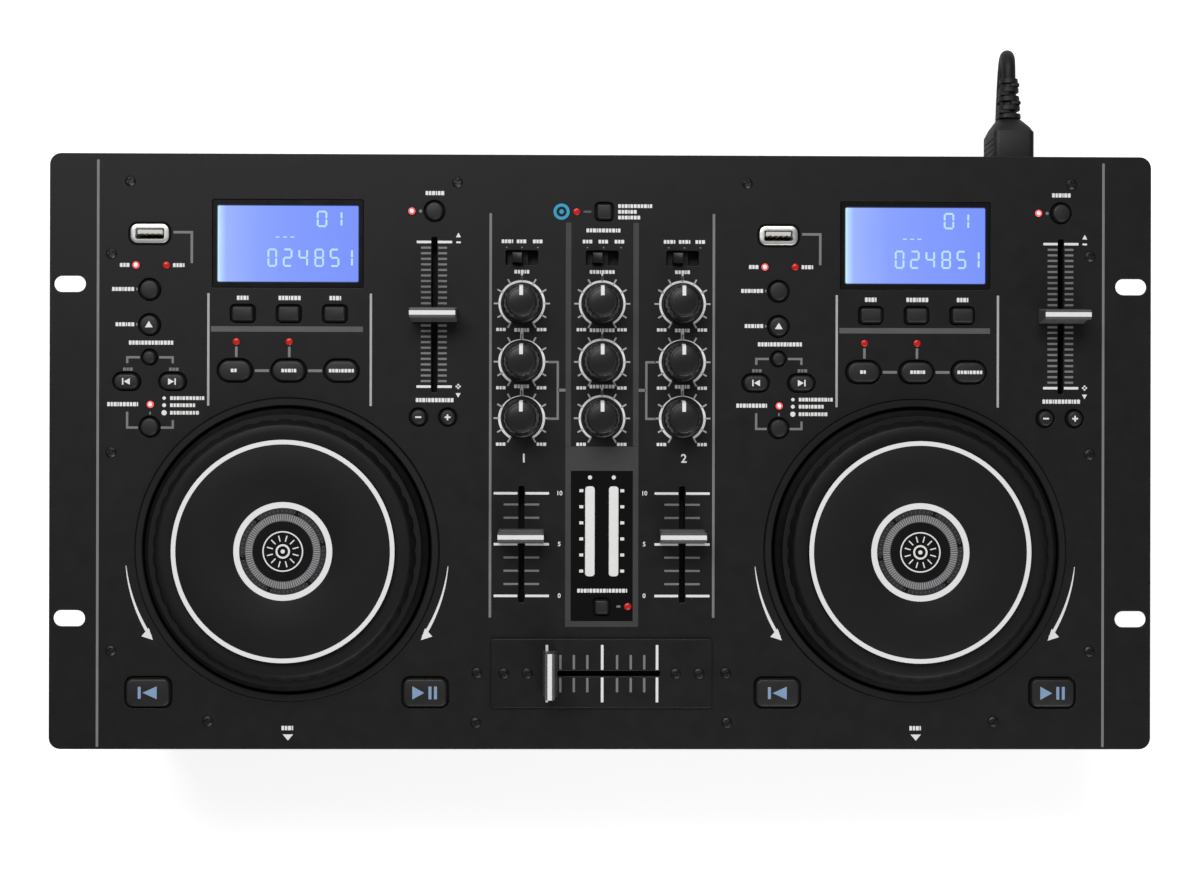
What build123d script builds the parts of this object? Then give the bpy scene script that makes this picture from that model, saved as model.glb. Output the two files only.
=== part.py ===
"""Twin disc player with a built-in two-channel mixer, in a sheet-metal case under a rack-width top panel.

The console lies flat with its face up: +X is to the right, +Y to the rear, +Z up. The origin is at
the middle of the feet's soles, under the middle of the panel. All lengths are in millimetres.
"""

import math
import os

from build123d import *

os.makedirs("parts", exist_ok=True)

# ---------------------------------------------------------------- driving dimensions
# top panel, cut for a 19 inch rack
panel_w = 482.6
panel_l = 260.35
panel_t = 2.0
panel_corner = 5.0
rack_pitch_x = 465.1
rack_pitch_y = 146.05
rack_slot_l = 14.0
rack_slot_w = 7.1

# folded case under the panel
case_room = 8.5
case_front = 125.0
case_rear = 122.0
case_h = 76.0
sheet = 1.2
flange = 10.0
notch_gap = 0.5
wall_gap = 0.2
vent_count = 7
vent_pitch = 10.0
vent_w = 3.0
vent_h = 26.0

# feet
foot_h = 15.0
foot_r = 10.0
foot_sides = 16
foot_x = 203.0
foot_y = 108.0

# two decks of the same layout, side by side, with their round parts cut as many-sided blocks
deck_pitch = 275.0
round_sides = 48
jog_y = -43.0
jog_r = 61.8
jog_ledge_r = 54.0
jog_shoulder_h = 2.0
jog_ledge_h = 12.6
jog_skirt_depth = 9.5
jog_wall = 2.3
jog_disc_r = 48.3
jog_disc_t = 2.4
jog_label_r = 21.0
jog_label_depth = 0.4
hub_r = 9.0
hub_air = 0.6
spindle_r = 4.0
spindle_fit = 0.05
panel_fit = 0.1
surround_r = 66.3
surround_wall = 3.3
surround_rise = 1.0
surround_depth = 15.0
surround_floor = 1.6

# keys: a cap through the panel on a flange that stops under it
key_gap = 0.6
key_lip = 1.2
key_lip_t = 1.0
key_rise = 1.8
key_travel = 1.0
key_slack = 0.3
key_corner = 0.7
wide_key_corner = 1.4
key_sides = 12
web_w = 3.0
tact_w = 6.0
tact_air = 0.1

# boards behind the panel
board_drop = 10.0
board_t = 1.6
board_edge = 1.5
deck_board_w = 154.0
deck_board_front = 4.0
mixer_board_w = 92.0

# rotary knobs
knob_r = 8.6
knob_top_r = 6.7
knob_step = 0.8
knob_skirt_h = 2.0
knob_h = 14.4
knob_air = 0.6
knob_sides = 12
knob_stem_r = 2.9
knob_hole_r = 3.6
stem_sides = 8
pointer_w = 1.8
pointer_l = 4.0
pointer_t = 0.6
pointer_out = 4.1
pot_w = 9.6
pot_h = 4.7
pot_gap = 0.3
knob_column = 35.2
knob_rows = (65.0, 39.5, 14.8)

# faders
slot_w = 2.4
stem_w = 1.4
stem_l = 4.0
stem_room = 1.0
cap_l = 6.4
cap_w = 20.0
cap_base_l = 9.0
cap_h = 14.4
cap_air = 0.6
cap_line_w = 1.6
cap_line_t = 0.4
track_w = 12.0
track_end = 4.5
track_floor = 1.5
track_air = 1.0
pitch_x = 64.0
pitch_y = 60.0
pitch_travel = 62.0
line_x = 35.2
line_y = -40.4
line_travel = 45.0
line_rest = 3.6
cross_y = -96.9
cross_travel = 45.0
plate_w = 96.8
plate_l = 30.2
plate_t = 1.2
plate_corner = 1.0
plate_margin_x = 12.0
plate_margin_y = 4.0

# slide switches
switch_y = 85.0
switch_w = 14.0
switch_l = 6.6
switch_travel = 4.0
switch_knob = 4.6
switch_rise = 3.2
switch_bevel = 0.5
switch_body_w = 18.0
switch_body_l = 8.6
switch_body_h = 4.0
switch_gap = 0.5

# display, level meter, lights
display_y = 90.9
display_w = 65.7
display_l = 38.5
window_w = 61.4
window_l = 33.2
display_t = 1.2
display_sink = 0.6
display_border = 1.0
meter_x = 5.2
meter_y = -34.7
meter_w = 4.4
meter_l = 39.6
meter_fit = 0.1
meter_rise = 0.3
light_r = 1.5
light_rise = 0.7
light_sides = 6

# panel screws
screw_head_r = 2.0
screw_head_h = 1.0
screw_sides = 6

# USB sockets, facing up
usb_x = -60.2
usb_y = 95.1
usb_w = 12.5
usb_l = 5.1
usb_shell = 0.4
usb_flare_w = 15.6
usb_flare_l = 7.2
usb_flare_t = 1.0
usb_flare_rise = 0.4
usb_depth = 13.0
usb_floor = 1.0
usb_board_gap = 1.5
usb_tongue_t = 1.8
usb_tongue_side = 0.7
usb_tongue_drop = 1.5

# slot-loading disc drives
drive_w = 146.0
case_w = deck_pitch + drive_w + 2 * case_room
drive_l = 158.0
drive_h = 22.0
drive_wall = 1.5
drive_air = 9.0
slot_open_w = 124.0
slot_open_h = 5.6
slot_z = 34.0
drive_gap = 0.3
drive_well = 60.0
drive_well_y = 20.0
disc_hub_r = 14.0
disc_hub_h = 1.6
disc_hub_y = -10.0
drive_leg_r = 4.0
drive_leg_in = 11.0

# rear and front sockets
phono_r = 4.15
phono_bore_r = 1.6
phono_sides = 8
phono_bore_sides = 6
phono_out = 8.2
phono_in = 6.0
phono_flange_r = 5.35
phono_flange_t = 1.0
phono_pitch = 14.0
phono_columns = (-175.0, -150.0, -20.0, 20.0)
phono_z = 46.0
jack_neck_r = 4.8
jack_nut_r = 7.4
jack_nut_t = 2.2
jack_body_w = 12.0
jack_bore_r = 3.25
jack_out = 3.0
jack_depth = 26.0
jack_x = 22.0
jack_z = 60.0

# mains inlet and its lead
inlet_x = 187.0
inlet_z = 50.0
inlet_w = 24.0
inlet_l = 31.0
inlet_flange = 2.0
inlet_body_w = 20.4
inlet_body_l = 28.2
inlet_depth = 22.0
nose_w = 16.0
nose_l = 24.0
nose_depth = 16.0
nose_fit = 0.3
nose_end_gap = 1.0
rocker_x = 150.0
rocker_w = 13.0
rocker_l = 19.0
rocker_side = 0.3
rocker_dip = 1.2
rocker_peak = 2.8
rocker_deep = 4.0
rocker_foot_l = 13.8
rocker_tilt = 9.0
rocker_fit = 0.4
rocker_wall = 0.6
rocker_rim = 2.1
rocker_rim_t = 1.6
rocker_frame_depth = 12.0
rocker_well_depth = 10.0
connector_w = 18.5
connector_l = 27.0
connector_body = 22.5
connector_corner = 2.0
relief_shoulder = 6.5
shoulder_w = 17.5
shoulder_l = 24.0
relief_l = 18.5
relief_root = 10.6
relief_tip = 8.2
relief_slots = 4
relief_slot_t = 1.6
relief_slot_deep = 1.7
relief_slot_first = 3.0
relief_slot_pitch = 4.1

# cord, drawn as a square tube of the round cord's own section area
cord_d = 6.4
cord_side = cord_d * math.sqrt(math.pi) / 2
floor_gap = 0.05
coil_x = 140.0
coil_y = 72.0
coil_mid_r = 38.4
coil_turns = 5
coil_gap = 0.5
coil_start_y = 6.4
plug_w = 24.0
plug_l = 33.0
plug_corner = 4.0
plug_root = 15.0
plug_flare_l = 20.0
plug_relief = 20.0
plug_relief_root = 12.0
blade_l = 15.5
blade_w = 6.35
blade_t = 1.5
blade_pitch = 12.7
blade_drop = 2.0
earth_r = 2.35
earth_l = 18.5
earth_rise = 6.0
earth_sides = 10

# ---------------------------------------------------------------- places that follow
z_case = foot_h
z_under = z_case + case_h
z_top = z_under + panel_t
z_board = z_under - board_drop
decks = (("left", -deck_pitch / 2), ("right", deck_pitch / 2))
track_h = board_drop

# Keys of one deck: strip name, then shape, place from the deck's middle, width and length of each.
deck_keys = {
    "cue_key": [("wide", -60.4, -105.3, 19.6, 12.8)],
    "play_key": [("wide", 60.4, -105.3, 19.6, 12.8)],
    "select_eject_keys": [("round", -60.2, 70.6, 8.8, 8.8), ("round", -60.2, 55.2, 8.8, 8.8)],
    "track_keys": [
        ("round", -60.2, 41.0, 6.2, 6.2),
        ("oval", -70.1, 30.4, 11.4, 7.2),
        ("oval", -50.1, 30.4, 11.4, 7.2),
    ],
    "jog_mode_key": [("round", -60.0, 10.6, 8.4, 8.4)],
    "display_keys": [
        ("box", -19.6, 60.2, 10.0, 7.0),
        ("box", 0.5, 60.2, 10.0, 7.0),
        ("box", 20.6, 60.2, 10.0, 7.0),
    ],
    "loop_keys": [
        ("oval", -22.9, 35.3, 14.8, 9.4),
        ("oval", 0.5, 35.3, 14.8, 9.4),
        ("oval", 23.5, 35.3, 14.8, 9.4),
    ],
    "pitch_key": [("round", 64.0, 105.3, 8.4, 8.4)],
    "bend_keys": [("round", 57.2, 15.1, 7.2, 7.2), ("round", 70.0, 15.1, 7.2, 7.2)],
}
mixer_keys = {
    "pairing_key": [("box", 0.8, 105.3, 7.2, 7.2)],
    "fader_start_key": [("box", 0.0, -67.8, 6.8, 6.8)],
}
deck_lights = [(-66.2, 81.3), (-52.9, 81.3), (-59.8, 20.4), (54.1, 105.3), (-22.4, 48.0), (0.7, 48.0)]
mixer_lights = [(-11.3, 105.3), (11.4, -67.6)]
screw_half = [(63.5, 118.0), (206.2, 118.0), (214.4, 86.3), (214.4, -0.6), (214.4, -87.2), (172.1, -118.0)]
screw_half += [(55.0, -118.6), (54.5, -96.8)]
plate_screws = [(42.7, cross_y), (32.5, cross_y)]


# ---------------------------------------------------------------- small helpers
def save(node, shape):
    """Write one node, as its own solids."""
    solids = shape.solids() if hasattr(shape, "solids") else [s for one in shape for s in one.solids()]
    export_step(Compound(children=[Part() + s for s in solids]), f"parts/{node}.step")


def polygon(radius, sides):
    """A regular polygon with flats square to X and Y."""
    return Rot(0, 0, 180 / sides) * RegularPolygon(radius, sides)


def outline(shape, x, y, w, l, grow=0.0):
    """A key's outline in the panel's plane, grown by a margin."""
    if shape == "round":
        flat = polygon(w / 2 + grow, key_sides)
    elif shape == "oval":
        end = polygon(l / 2 + grow, key_sides)
        reach = w / 2 - l / 2
        chord = (l / 2 + grow) * math.cos(math.pi / key_sides)
        flat = Rectangle(2 * reach, 2 * chord) + Pos(-reach, 0) * end + Pos(reach, 0) * end
    else:
        flat = Rectangle(w + 2 * grow, l + 2 * grow)
        flat = chamfer(flat.vertices(), wide_key_corner if shape == "wide" else key_corner)
    return Pos(x, y) * flat


def lift(flat, z, height):
    """A flat outline made into a block that stands at height z."""
    return Pos(0, 0, z) * extrude(flat, height)


def frustum(w, l, end_w, end_l, height):
    """A block on z = 0 whose four flat sides lean evenly, from a w by l foot to an end_w by end_l head."""
    front = Polyline((-w / 2, 0), (w / 2, 0), (end_w / 2, height), (-end_w / 2, height), close=True)
    side = Polyline((-l / 2, 0), (l / 2, 0), (end_l / 2, height), (-end_l / 2, height), close=True)
    along = extrude(make_face(Plane.XZ * front), max(l, end_l), both=True)
    across = extrude(make_face(Plane.YZ * side), max(w, end_w), both=True)
    return along & across


def sweep_cord(path):
    """A cord along a wire, as a square tube with its first edges level."""
    start = Plane(origin=path @ 0, x_dir=(path % 0).cross(Vector(0, 0, 1)), z_dir=path % 0)
    return sweep(start * Rectangle(cord_side, cord_side), path=path)


def slot_length(travel):
    """A fader's slot, with room past the blade at both ends of its travel."""
    return travel + stem_l + 2 * stem_room


# ---------------------------------------------------------------- top panel
def top_panel():
    cuts = []
    for x in (-rack_pitch_x / 2, rack_pitch_x / 2):
        for y in (-rack_pitch_y / 2, rack_pitch_y / 2):
            cuts.append(Pos(x, y) * SlotOverall(rack_slot_l, rack_slot_w))
    for _, x0 in decks:
        cuts.append(Pos(x0, jog_y) * polygon(surround_r + 2 * panel_fit, round_sides))
        cuts.append(Pos(x0, display_y) * Rectangle(display_w + 2 * panel_fit, display_l + 2 * panel_fit))
        flare = Rectangle(usb_flare_w + 2 * panel_fit, usb_flare_l + 2 * panel_fit)
        cuts.append(Pos(x0 + usb_x, usb_y) * flare)
        cuts.append(Pos(x0 + pitch_x, pitch_y) * Rectangle(slot_w, slot_length(pitch_travel)))
        for keys in deck_keys.values():
            for shape, x, y, w, l in keys:
                cuts.append(outline(shape, x0 + x, y, w, l, key_gap))
    for keys in mixer_keys.values():
        for shape, x, y, w, l in keys:
            cuts.append(outline(shape, x, y, w, l, key_gap))
    for x in (-knob_column, 0, knob_column):
        cuts.append(Pos(x, switch_y) * Rectangle(switch_w, switch_l))
        for y in knob_rows:
            cuts.append(Pos(x, y) * polygon(knob_hole_r, stem_sides))
    for side in (-1, 1):
        cuts.append(Pos(side * line_x, line_y) * Rectangle(slot_w, slot_length(line_travel)))
        cuts.append(Pos(side * meter_x, meter_y) * Rectangle(meter_w, meter_l))
    cuts.append(Pos(0, cross_y) * Rectangle(plate_w - 2 * plate_margin_x, plate_l - 2 * plate_margin_y))
    flat = RectangleRounded(panel_w, panel_l, panel_corner) - cuts
    return lift(flat, z_under, panel_t)


# ---------------------------------------------------------------- case
def flange_notch(x, y, w, l):
    """The piece cut from the case's flange where a key's lip reaches over it, or nothing."""
    reach_x = w / 2 + key_gap + key_lip + notch_gap
    reach_y = l / 2 + key_gap + key_lip + notch_gap
    if abs(x) + reach_x < case_w / 2 - flange and y - reach_y > flange - case_front:
        return []
    return lift(Pos(x, y) * Rectangle(2 * reach_x, 2 * reach_y), z_under - 2 * sheet, 3 * sheet)


def lower_case():
    length = case_front + case_rear
    middle = (case_rear - case_front) / 2
    outer = Pos(0, middle) * Rectangle(case_w, length)
    inner = Pos(0, middle) * Rectangle(case_w - 2 * sheet, length - 2 * sheet)
    mouth = Pos(0, middle) * Rectangle(case_w - 2 * flange, length - 2 * flange)
    body = lift(outer, z_case, case_h)
    body -= lift(inner, z_case + sheet, case_h - 2 * sheet)
    body -= lift(mouth, z_under - 2 * sheet, 3 * sheet)
    for _, x0 in decks:
        for keys in deck_keys.values():
            for _, x, y, w, l in keys:
                body -= flange_notch(x0 + x, y, w, l)
    front = Plane(origin=(0, -case_front - sheet, 0), x_dir=(1, 0, 0), z_dir=(0, 1, 0))
    rear = Plane(origin=(0, case_rear + sheet, 0), x_dir=(1, 0, 0), z_dir=(0, -1, 0))
    depth = 3 * sheet
    cuts = []
    for _, x0 in decks:
        cuts.append(extrude(front * (Pos(x0, -slot_z) * Rectangle(slot_open_w, slot_open_h)), depth))
    for x in (-jack_x, jack_x):
        cuts.append(extrude(front * (Pos(x, -jack_z) * polygon(jack_neck_r + wall_gap, phono_sides)), depth))
    for x in phono_columns:
        for z in (phono_z - phono_pitch / 2, phono_z + phono_pitch / 2):
            cuts.append(extrude(rear * (Pos(x, z) * polygon(phono_r + wall_gap, phono_sides)), depth))
    inlet_hole = Rectangle(inlet_body_w + 2 * wall_gap, inlet_body_l + 2 * wall_gap)
    cuts.append(extrude(rear * (Pos(inlet_x, inlet_z) * inlet_hole), depth))
    around = 2 * (rocker_fit + rocker_wall + wall_gap)
    rocker_hole = Rectangle(rocker_w + around, rocker_l + around)
    cuts.append(extrude(rear * (Pos(rocker_x, inlet_z) * rocker_hole), depth))
    for i in range(vent_count):
        y = middle + (i - (vent_count - 1) / 2) * vent_pitch
        cuts.append(Pos(0, y, z_case + case_h / 2) * Box(case_w + 2 * sheet, vent_w, vent_h))
    return body - cuts


def rubber_feet():
    foot = lift(polygon(foot_r, foot_sides), 0, foot_h)
    return [Pos(x, y) * foot for x in (-foot_x, foot_x) for y in (-foot_y, foot_y)]


def panel_screws():
    head = lift(polygon(screw_head_r, screw_sides), 0, screw_head_h)
    heads = [Pos(side * x, y, z_top) * head for x, y in screw_half for side in (-1, 1)]
    heads += [Pos(side * x, y, z_top + plate_t) * head for x, y in plate_screws for side in (-1, 1)]
    return heads


# ---------------------------------------------------------------- jog wheels
def many_sided(radius, z, height, end_radius=None):
    """A block of the jog wheel's many flats, upright or leaning in to a smaller radius at its top."""
    inset = (radius - (end_radius or radius)) * math.cos(math.pi / round_sides)
    lean = math.degrees(math.atan2(inset, height))
    return Pos(0, 0, z) * extrude(polygon(radius, round_sides), height, taper=lean)


def jog_surround():
    """The cup that closes the panel's round opening, with its rim a little proud."""
    low = z_top - surround_depth
    cup = many_sided(surround_r, low, surround_depth + surround_rise)
    cup -= many_sided(surround_r - surround_wall, low + surround_floor, surround_depth + surround_rise)
    return cup - lift(Circle(spindle_r), low, surround_floor)


def jog_spindle():
    low = z_top - surround_depth
    return lift(Circle(spindle_r), low, surround_depth + jog_ledge_h - jog_wall)


def jog_wheel():
    """A thin-walled wheel: skirt, sloping rim and flat ledge, on a hub that turns on the spindle."""
    low = z_top - jog_skirt_depth
    shoulder = z_top + jog_shoulder_h
    ledge = z_top + jog_ledge_h
    wheel = many_sided(jog_r, low, shoulder - low)
    wheel += many_sided(jog_r, shoulder, ledge - shoulder, jog_ledge_r)
    inner = shoulder - jog_wall / 2
    wheel -= many_sided(jog_r - jog_wall, low, inner - low)
    wheel -= many_sided(jog_r - jog_wall, inner, ledge - jog_wall - inner, jog_ledge_r - jog_wall)
    hub_low = z_top - surround_depth + surround_floor + hub_air
    wheel += lift(polygon(hub_r, key_sides), hub_low, ledge - hub_low)
    return wheel - lift(Circle(spindle_r + spindle_fit), hub_low, ledge - hub_low)


def jog_top():
    """The disc on the wheel, sunk a little in its middle for the label."""
    low = z_top + jog_ledge_h
    disc = many_sided(jog_disc_r, low, jog_disc_t)
    return disc - many_sided(jog_label_r, low + jog_disc_t - jog_label_depth, jog_disc_t)


# ---------------------------------------------------------------- keys
def key_strip(keys, x0):
    """Caps on flanges, joined by a web under the panel into one moulded strip."""
    top = z_top + key_rise
    lip_top = z_under - key_slack
    strip = None
    for shape, x, y, w, l in keys:
        cap = lift(outline(shape, x0 + x, y, w, l), lip_top, top - lip_top)
        lip = lift(
            Pos(x0 + x, y) * Rectangle(w + 2 * key_gap + 2 * key_lip, l + 2 * key_gap + 2 * key_lip),
            lip_top - key_lip_t,
            key_lip_t,
        )
        one = cap + lip
        strip = one if strip is None else strip + one
    for (_, xa, ya, _, _), (_, xb, yb, _, _) in zip(keys, keys[1:]):
        reach = math.hypot(xb - xa, yb - ya)
        angle = math.degrees(math.atan2(yb - ya, xb - xa))
        middle = Pos(x0 + (xa + xb) / 2, (ya + yb) / 2, lip_top - key_lip_t)
        strip += middle * Rot(0, 0, angle) * extrude(Rectangle(reach, web_w), key_lip_t)
    return strip


# ---------------------------------------------------------------- knobs, faders, switches
def knob(x, y):
    base = z_top + knob_air
    skirt = lift(polygon(knob_r, knob_sides), base, knob_skirt_h)
    grip_h = knob_h - knob_skirt_h
    lean = math.degrees(math.atan2(knob_r - knob_top_r - knob_step, grip_h))
    grip = extrude(polygon(knob_r - knob_step, knob_sides), grip_h, taper=lean)
    grip = Pos(0, 0, base + knob_skirt_h) * grip
    pointer = Pos(0, pointer_out, base + knob_h) * Box(pointer_w, pointer_l, 2 * pointer_t)
    stem_low = z_board + pot_h + pot_gap
    stem = lift(polygon(knob_stem_r, stem_sides), stem_low, base - stem_low)
    return Pos(x, y) * (skirt + grip + pointer + stem)


def fader_cap(x, y, turn, deck_top, track_top):
    """A cap that leans in from its foot to its top, with a raised line across, on a blade."""
    base = deck_top + cap_air
    cap = Pos(0, 0, base) * frustum(cap_w, cap_base_l, cap_w, cap_l, cap_h)
    line = Pos(0, 0, base + cap_h) * Box(cap_w, cap_line_w, 2 * cap_line_t)
    stem_low = track_top - track_h + track_floor + track_air
    blade = lift(Rectangle(stem_w, stem_l), stem_low, base - stem_low)
    return Pos(x, y) * Rot(0, 0, turn) * (cap + line + blade)


def fader_track(x, y, travel, turn, top):
    """A long box under the slot, with the groove that the blade runs in."""
    length = slot_length(travel)
    box = lift(Rectangle(track_w, length + 2 * track_end), top - track_h, track_h)
    box -= lift(Rectangle(slot_w, length), top - track_h + track_floor, track_h)
    return Pos(x, y) * Rot(0, 0, turn) * box


def slide_switch(x):
    """The knob of a slide switch at the left end of its travel."""
    low = z_board + switch_body_h + switch_gap
    place = Pos(x - switch_travel / 2, switch_y)
    body = lift(Rectangle(switch_knob, switch_knob), low, z_top + switch_rise - low)
    return place * chamfer(body.faces().sort_by(Axis.Z)[-1].edges(), switch_bevel)


def crossfader_plate():
    flat = RectangleRounded(plate_w, plate_l, plate_corner) - Rectangle(slot_length(cross_travel), slot_w)
    return Pos(0, cross_y, z_top) * extrude(flat, plate_t)


# ---------------------------------------------------------------- display, lights, sockets in the panel
def display_screen():
    """A lens with its raised border, on the display module."""
    lens = lift(Rectangle(display_w, display_l), z_top - display_t, display_t)
    lens -= lift(Rectangle(window_w, window_l), z_top - display_sink, display_t)
    back = Rectangle(window_w + 2 * display_border, window_l + 2 * display_border)
    module = lift(back, z_board, z_top - display_t - z_board)
    return lens + module


def indicator_lights():
    lens = lift(polygon(light_r, light_sides), z_top, light_rise)
    spots = [(x0 + x, y) for _, x0 in decks for x, y in deck_lights] + mixer_lights
    window = Rectangle(meter_w - 2 * meter_fit, meter_l - 2 * meter_fit)
    bar = lift(window, z_board, z_top + meter_rise - z_board)
    bars = [Pos(side * meter_x, meter_y) * bar for side in (-1, 1)]
    return [Pos(x, y) * lens for x, y in spots] + bars


def usb_socket():
    """A metal shell with a flared mouth and the contact tongue inside, facing up."""
    low = z_top - usb_depth
    shell_w = usb_w + 2 * usb_shell
    shell_l = usb_l + 2 * usb_shell
    shell = lift(Rectangle(shell_w, shell_l), low, usb_depth)
    shell += lift(Rectangle(usb_flare_w, usb_flare_l), z_top + usb_flare_rise - usb_flare_t, usb_flare_t)
    shell -= lift(Rectangle(usb_w, usb_l), low + usb_floor, usb_depth)
    tongue_y = (usb_l - usb_tongue_t) / 2 - usb_tongue_side
    tongue = Pos(0, tongue_y) * Rectangle(usb_w - 2 * usb_tongue_side, usb_tongue_t)
    shell += lift(tongue, low + usb_floor, usb_depth - usb_tongue_drop - usb_floor)
    return Pos(usb_x, usb_y) * shell


# ---------------------------------------------------------------- inside
def control_boards():
    """Printed boards on the panel's back, with the switches and rotary controls that the caps work."""
    pieces = []
    tact_h = board_drop - key_slack - key_lip_t - key_travel - tact_air
    tact = Box(tact_w, tact_w, tact_h, align=(Align.CENTER, Align.CENTER, Align.MIN))
    board_high = case_rear - flange - board_edge
    usb_hole_w = usb_w + 2 * usb_board_gap
    usb_hole_l = usb_l + 2 * usb_board_gap
    for _, x0 in decks:
        middle = (deck_board_front + board_high) / 2
        flat = Pos(x0, middle) * Rectangle(deck_board_w, board_high - deck_board_front)
        flat -= Pos(x0, jog_y) * polygon(surround_r + board_edge, round_sides)
        flat -= Pos(x0 + usb_x, usb_y) * Rectangle(usb_hole_w, usb_hole_l)
        board = lift(flat, z_board - board_t, board_t)
        for name, keys in deck_keys.items():
            low = name in ("cue_key", "play_key")
            for _, x, y, w, l in keys:
                if low:
                    pieces.append(
                        lift(Pos(x0 + x, y) * Rectangle(w, l), z_board - board_t, board_t)
                        + Pos(x0 + x, y, z_board) * tact
                    )
                else:
                    board += Pos(x0 + x, y, z_board) * tact
        pieces.append(board)
    low = cross_y + plate_l / 2
    mixer = Pos(0, (low + board_high) / 2) * Rectangle(mixer_board_w, board_high - low)
    board = lift(mixer, z_board - board_t, board_t)
    for keys in mixer_keys.values():
        for _, x, y, _, _ in keys:
            board += Pos(x, y, z_board) * tact
    for x in (-knob_column, 0, knob_column):
        board += lift(Pos(x, switch_y) * Rectangle(switch_body_w, switch_body_l), z_board, switch_body_h)
        for y in knob_rows:
            board += lift(Pos(x, y) * Rectangle(pot_w, pot_w), z_board, pot_h)
    pieces.append(board)
    return pieces


def disc_drive():
    """A slot-loading drive: a flat box on legs, open at the front, with the disc's hub inside."""
    front = -case_front + sheet + drive_gap
    low = slot_z - drive_h / 2
    middle = front + drive_l / 2
    box = lift(Pos(0, middle) * Rectangle(drive_w, drive_l), low, drive_h)
    cavity = Pos(0, middle - drive_wall) * Rectangle(drive_w - 2 * drive_wall, drive_l - drive_wall)
    box -= lift(cavity, slot_z - drive_air / 2, drive_air)
    box -= lift(Pos(0, middle + drive_well_y) * Rectangle(drive_well, drive_well), low, drive_wall)
    hub = Pos(0, middle + disc_hub_y) * polygon(disc_hub_r, key_sides)
    hub = lift(hub, slot_z - drive_air / 2, disc_hub_h)
    legs = []
    for x in (-drive_w / 2 + drive_leg_in, drive_w / 2 - drive_leg_in):
        for y in (front + drive_leg_in, front + drive_l - drive_leg_in):
            leg = Pos(x, y) * polygon(drive_leg_r, stem_sides)
            legs.append(lift(leg, z_case + sheet, low - z_case - sheet))
    return box + hub + legs


def audio_sockets():
    """Phono sockets through the rear wall and two jack sockets through the front wall."""
    pieces = []
    rear = Plane(origin=(0, case_rear, 0), x_dir=(-1, 0, 0), z_dir=(0, 1, 0))
    front = Plane(origin=(0, -case_front, 0), x_dir=(1, 0, 0), z_dir=(0, -1, 0))
    for x in phono_columns:
        for z in (phono_z - phono_pitch / 2, phono_z + phono_pitch / 2):
            one = lift(polygon(phono_r, phono_sides), -phono_in, phono_in + phono_out)
            one += lift(polygon(phono_flange_r, phono_sides), 0, phono_flange_t)
            one -= lift(polygon(phono_bore_r, phono_bore_sides), phono_flange_t, phono_out)
            pieces.append(rear * Pos(-x, z) * one)
    behind_wall = sheet + wall_gap
    for x in (-jack_x, jack_x):
        one = lift(polygon(jack_neck_r, phono_sides), -behind_wall, behind_wall + jack_out)
        one += lift(RegularPolygon(jack_nut_r, 6), 0, jack_nut_t)
        one += lift(Rectangle(jack_body_w, jack_body_w), -jack_depth, jack_depth - behind_wall)
        one -= lift(Circle(jack_bore_r), -jack_depth, jack_depth + jack_out)
        pieces.append(front * Pos(x, jack_z) * one)
    return pieces


def mains_inlet():
    """The upright three-pin inlet and the power switch's frame, both snapped into the rear wall."""
    rear = Plane(origin=(inlet_x, case_rear, inlet_z), x_dir=(-1, 0, 0), z_dir=(0, 1, 0))
    block = lift(Rectangle(inlet_w, inlet_l), 0, inlet_flange)
    block += lift(Rectangle(inlet_body_w, inlet_body_l), -inlet_depth, inlet_depth)
    mouth = Rectangle(nose_w + 2 * nose_fit, nose_l + 2 * nose_fit)
    block -= lift(mouth, inlet_flange - nose_depth - nose_end_gap, nose_depth + nose_end_gap)
    well = Rectangle(rocker_w + 2 * rocker_fit, rocker_l + 2 * rocker_fit)
    around = 2 * (rocker_fit + rocker_wall)
    frame = lift(Rectangle(rocker_w + around, rocker_l + around), -rocker_frame_depth, rocker_frame_depth)
    around += 2 * (rocker_rim - rocker_wall)
    frame += lift(Rectangle(rocker_w + around, rocker_l + around), 0, rocker_rim_t)
    frame -= lift(well, -rocker_well_depth, rocker_well_depth + rocker_rim_t)
    beside = Plane(origin=(rocker_x, case_rear, inlet_z), x_dir=(-1, 0, 0), z_dir=(0, 1, 0))
    return [rear * block, beside * frame]


def power_rocker():
    """A rocker that turns about X inside its frame, shown tilted to its on side."""
    reach = rocker_l / 2 - rocker_side
    foot = rocker_foot_l / 2
    shape = Polyline(
        (-reach, rocker_peak),
        (0, rocker_dip),
        (reach, rocker_peak),
        (foot, -rocker_deep),
        (-foot, -rocker_deep),
        close=True,
    )
    rocker = extrude(Plane.YZ * make_face(shape), rocker_w / 2 - rocker_side, both=True)
    upright = Pos(rocker_x, case_rear, inlet_z) * Rot(-90, 0, 0)
    return upright * Rot(rocker_tilt, 0, 0) * rocker


# ---------------------------------------------------------------- mains lead
def cord_connector():
    """The lead's socket in the inlet, with its moulded strain relief."""
    rear = Plane(origin=(inlet_x, case_rear + inlet_flange, inlet_z), x_dir=(-1, 0, 0), z_dir=(0, 1, 0))
    nose = lift(Rectangle(nose_w, nose_l), -nose_depth, nose_depth)
    flat = chamfer(Rectangle(connector_w, connector_l).vertices(), connector_corner)
    body = lift(flat, 0, connector_body)
    shoulder = frustum(shoulder_w, shoulder_l, relief_root, relief_root, relief_shoulder)
    tail = frustum(relief_root, relief_root, relief_tip, relief_tip, relief_l)
    for i in range(relief_slots):
        side = 1 if i % 2 else -1
        z = relief_slot_first + i * relief_slot_pitch
        tail -= Pos(side * relief_root / 2, 0, z) * Box(2 * relief_slot_deep, 2 * relief_root, relief_slot_t)
    tail_z = connector_body + relief_shoulder
    return rear * (nose + body + Pos(0, 0, connector_body) * shoulder + Pos(0, 0, tail_z) * tail)


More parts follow.
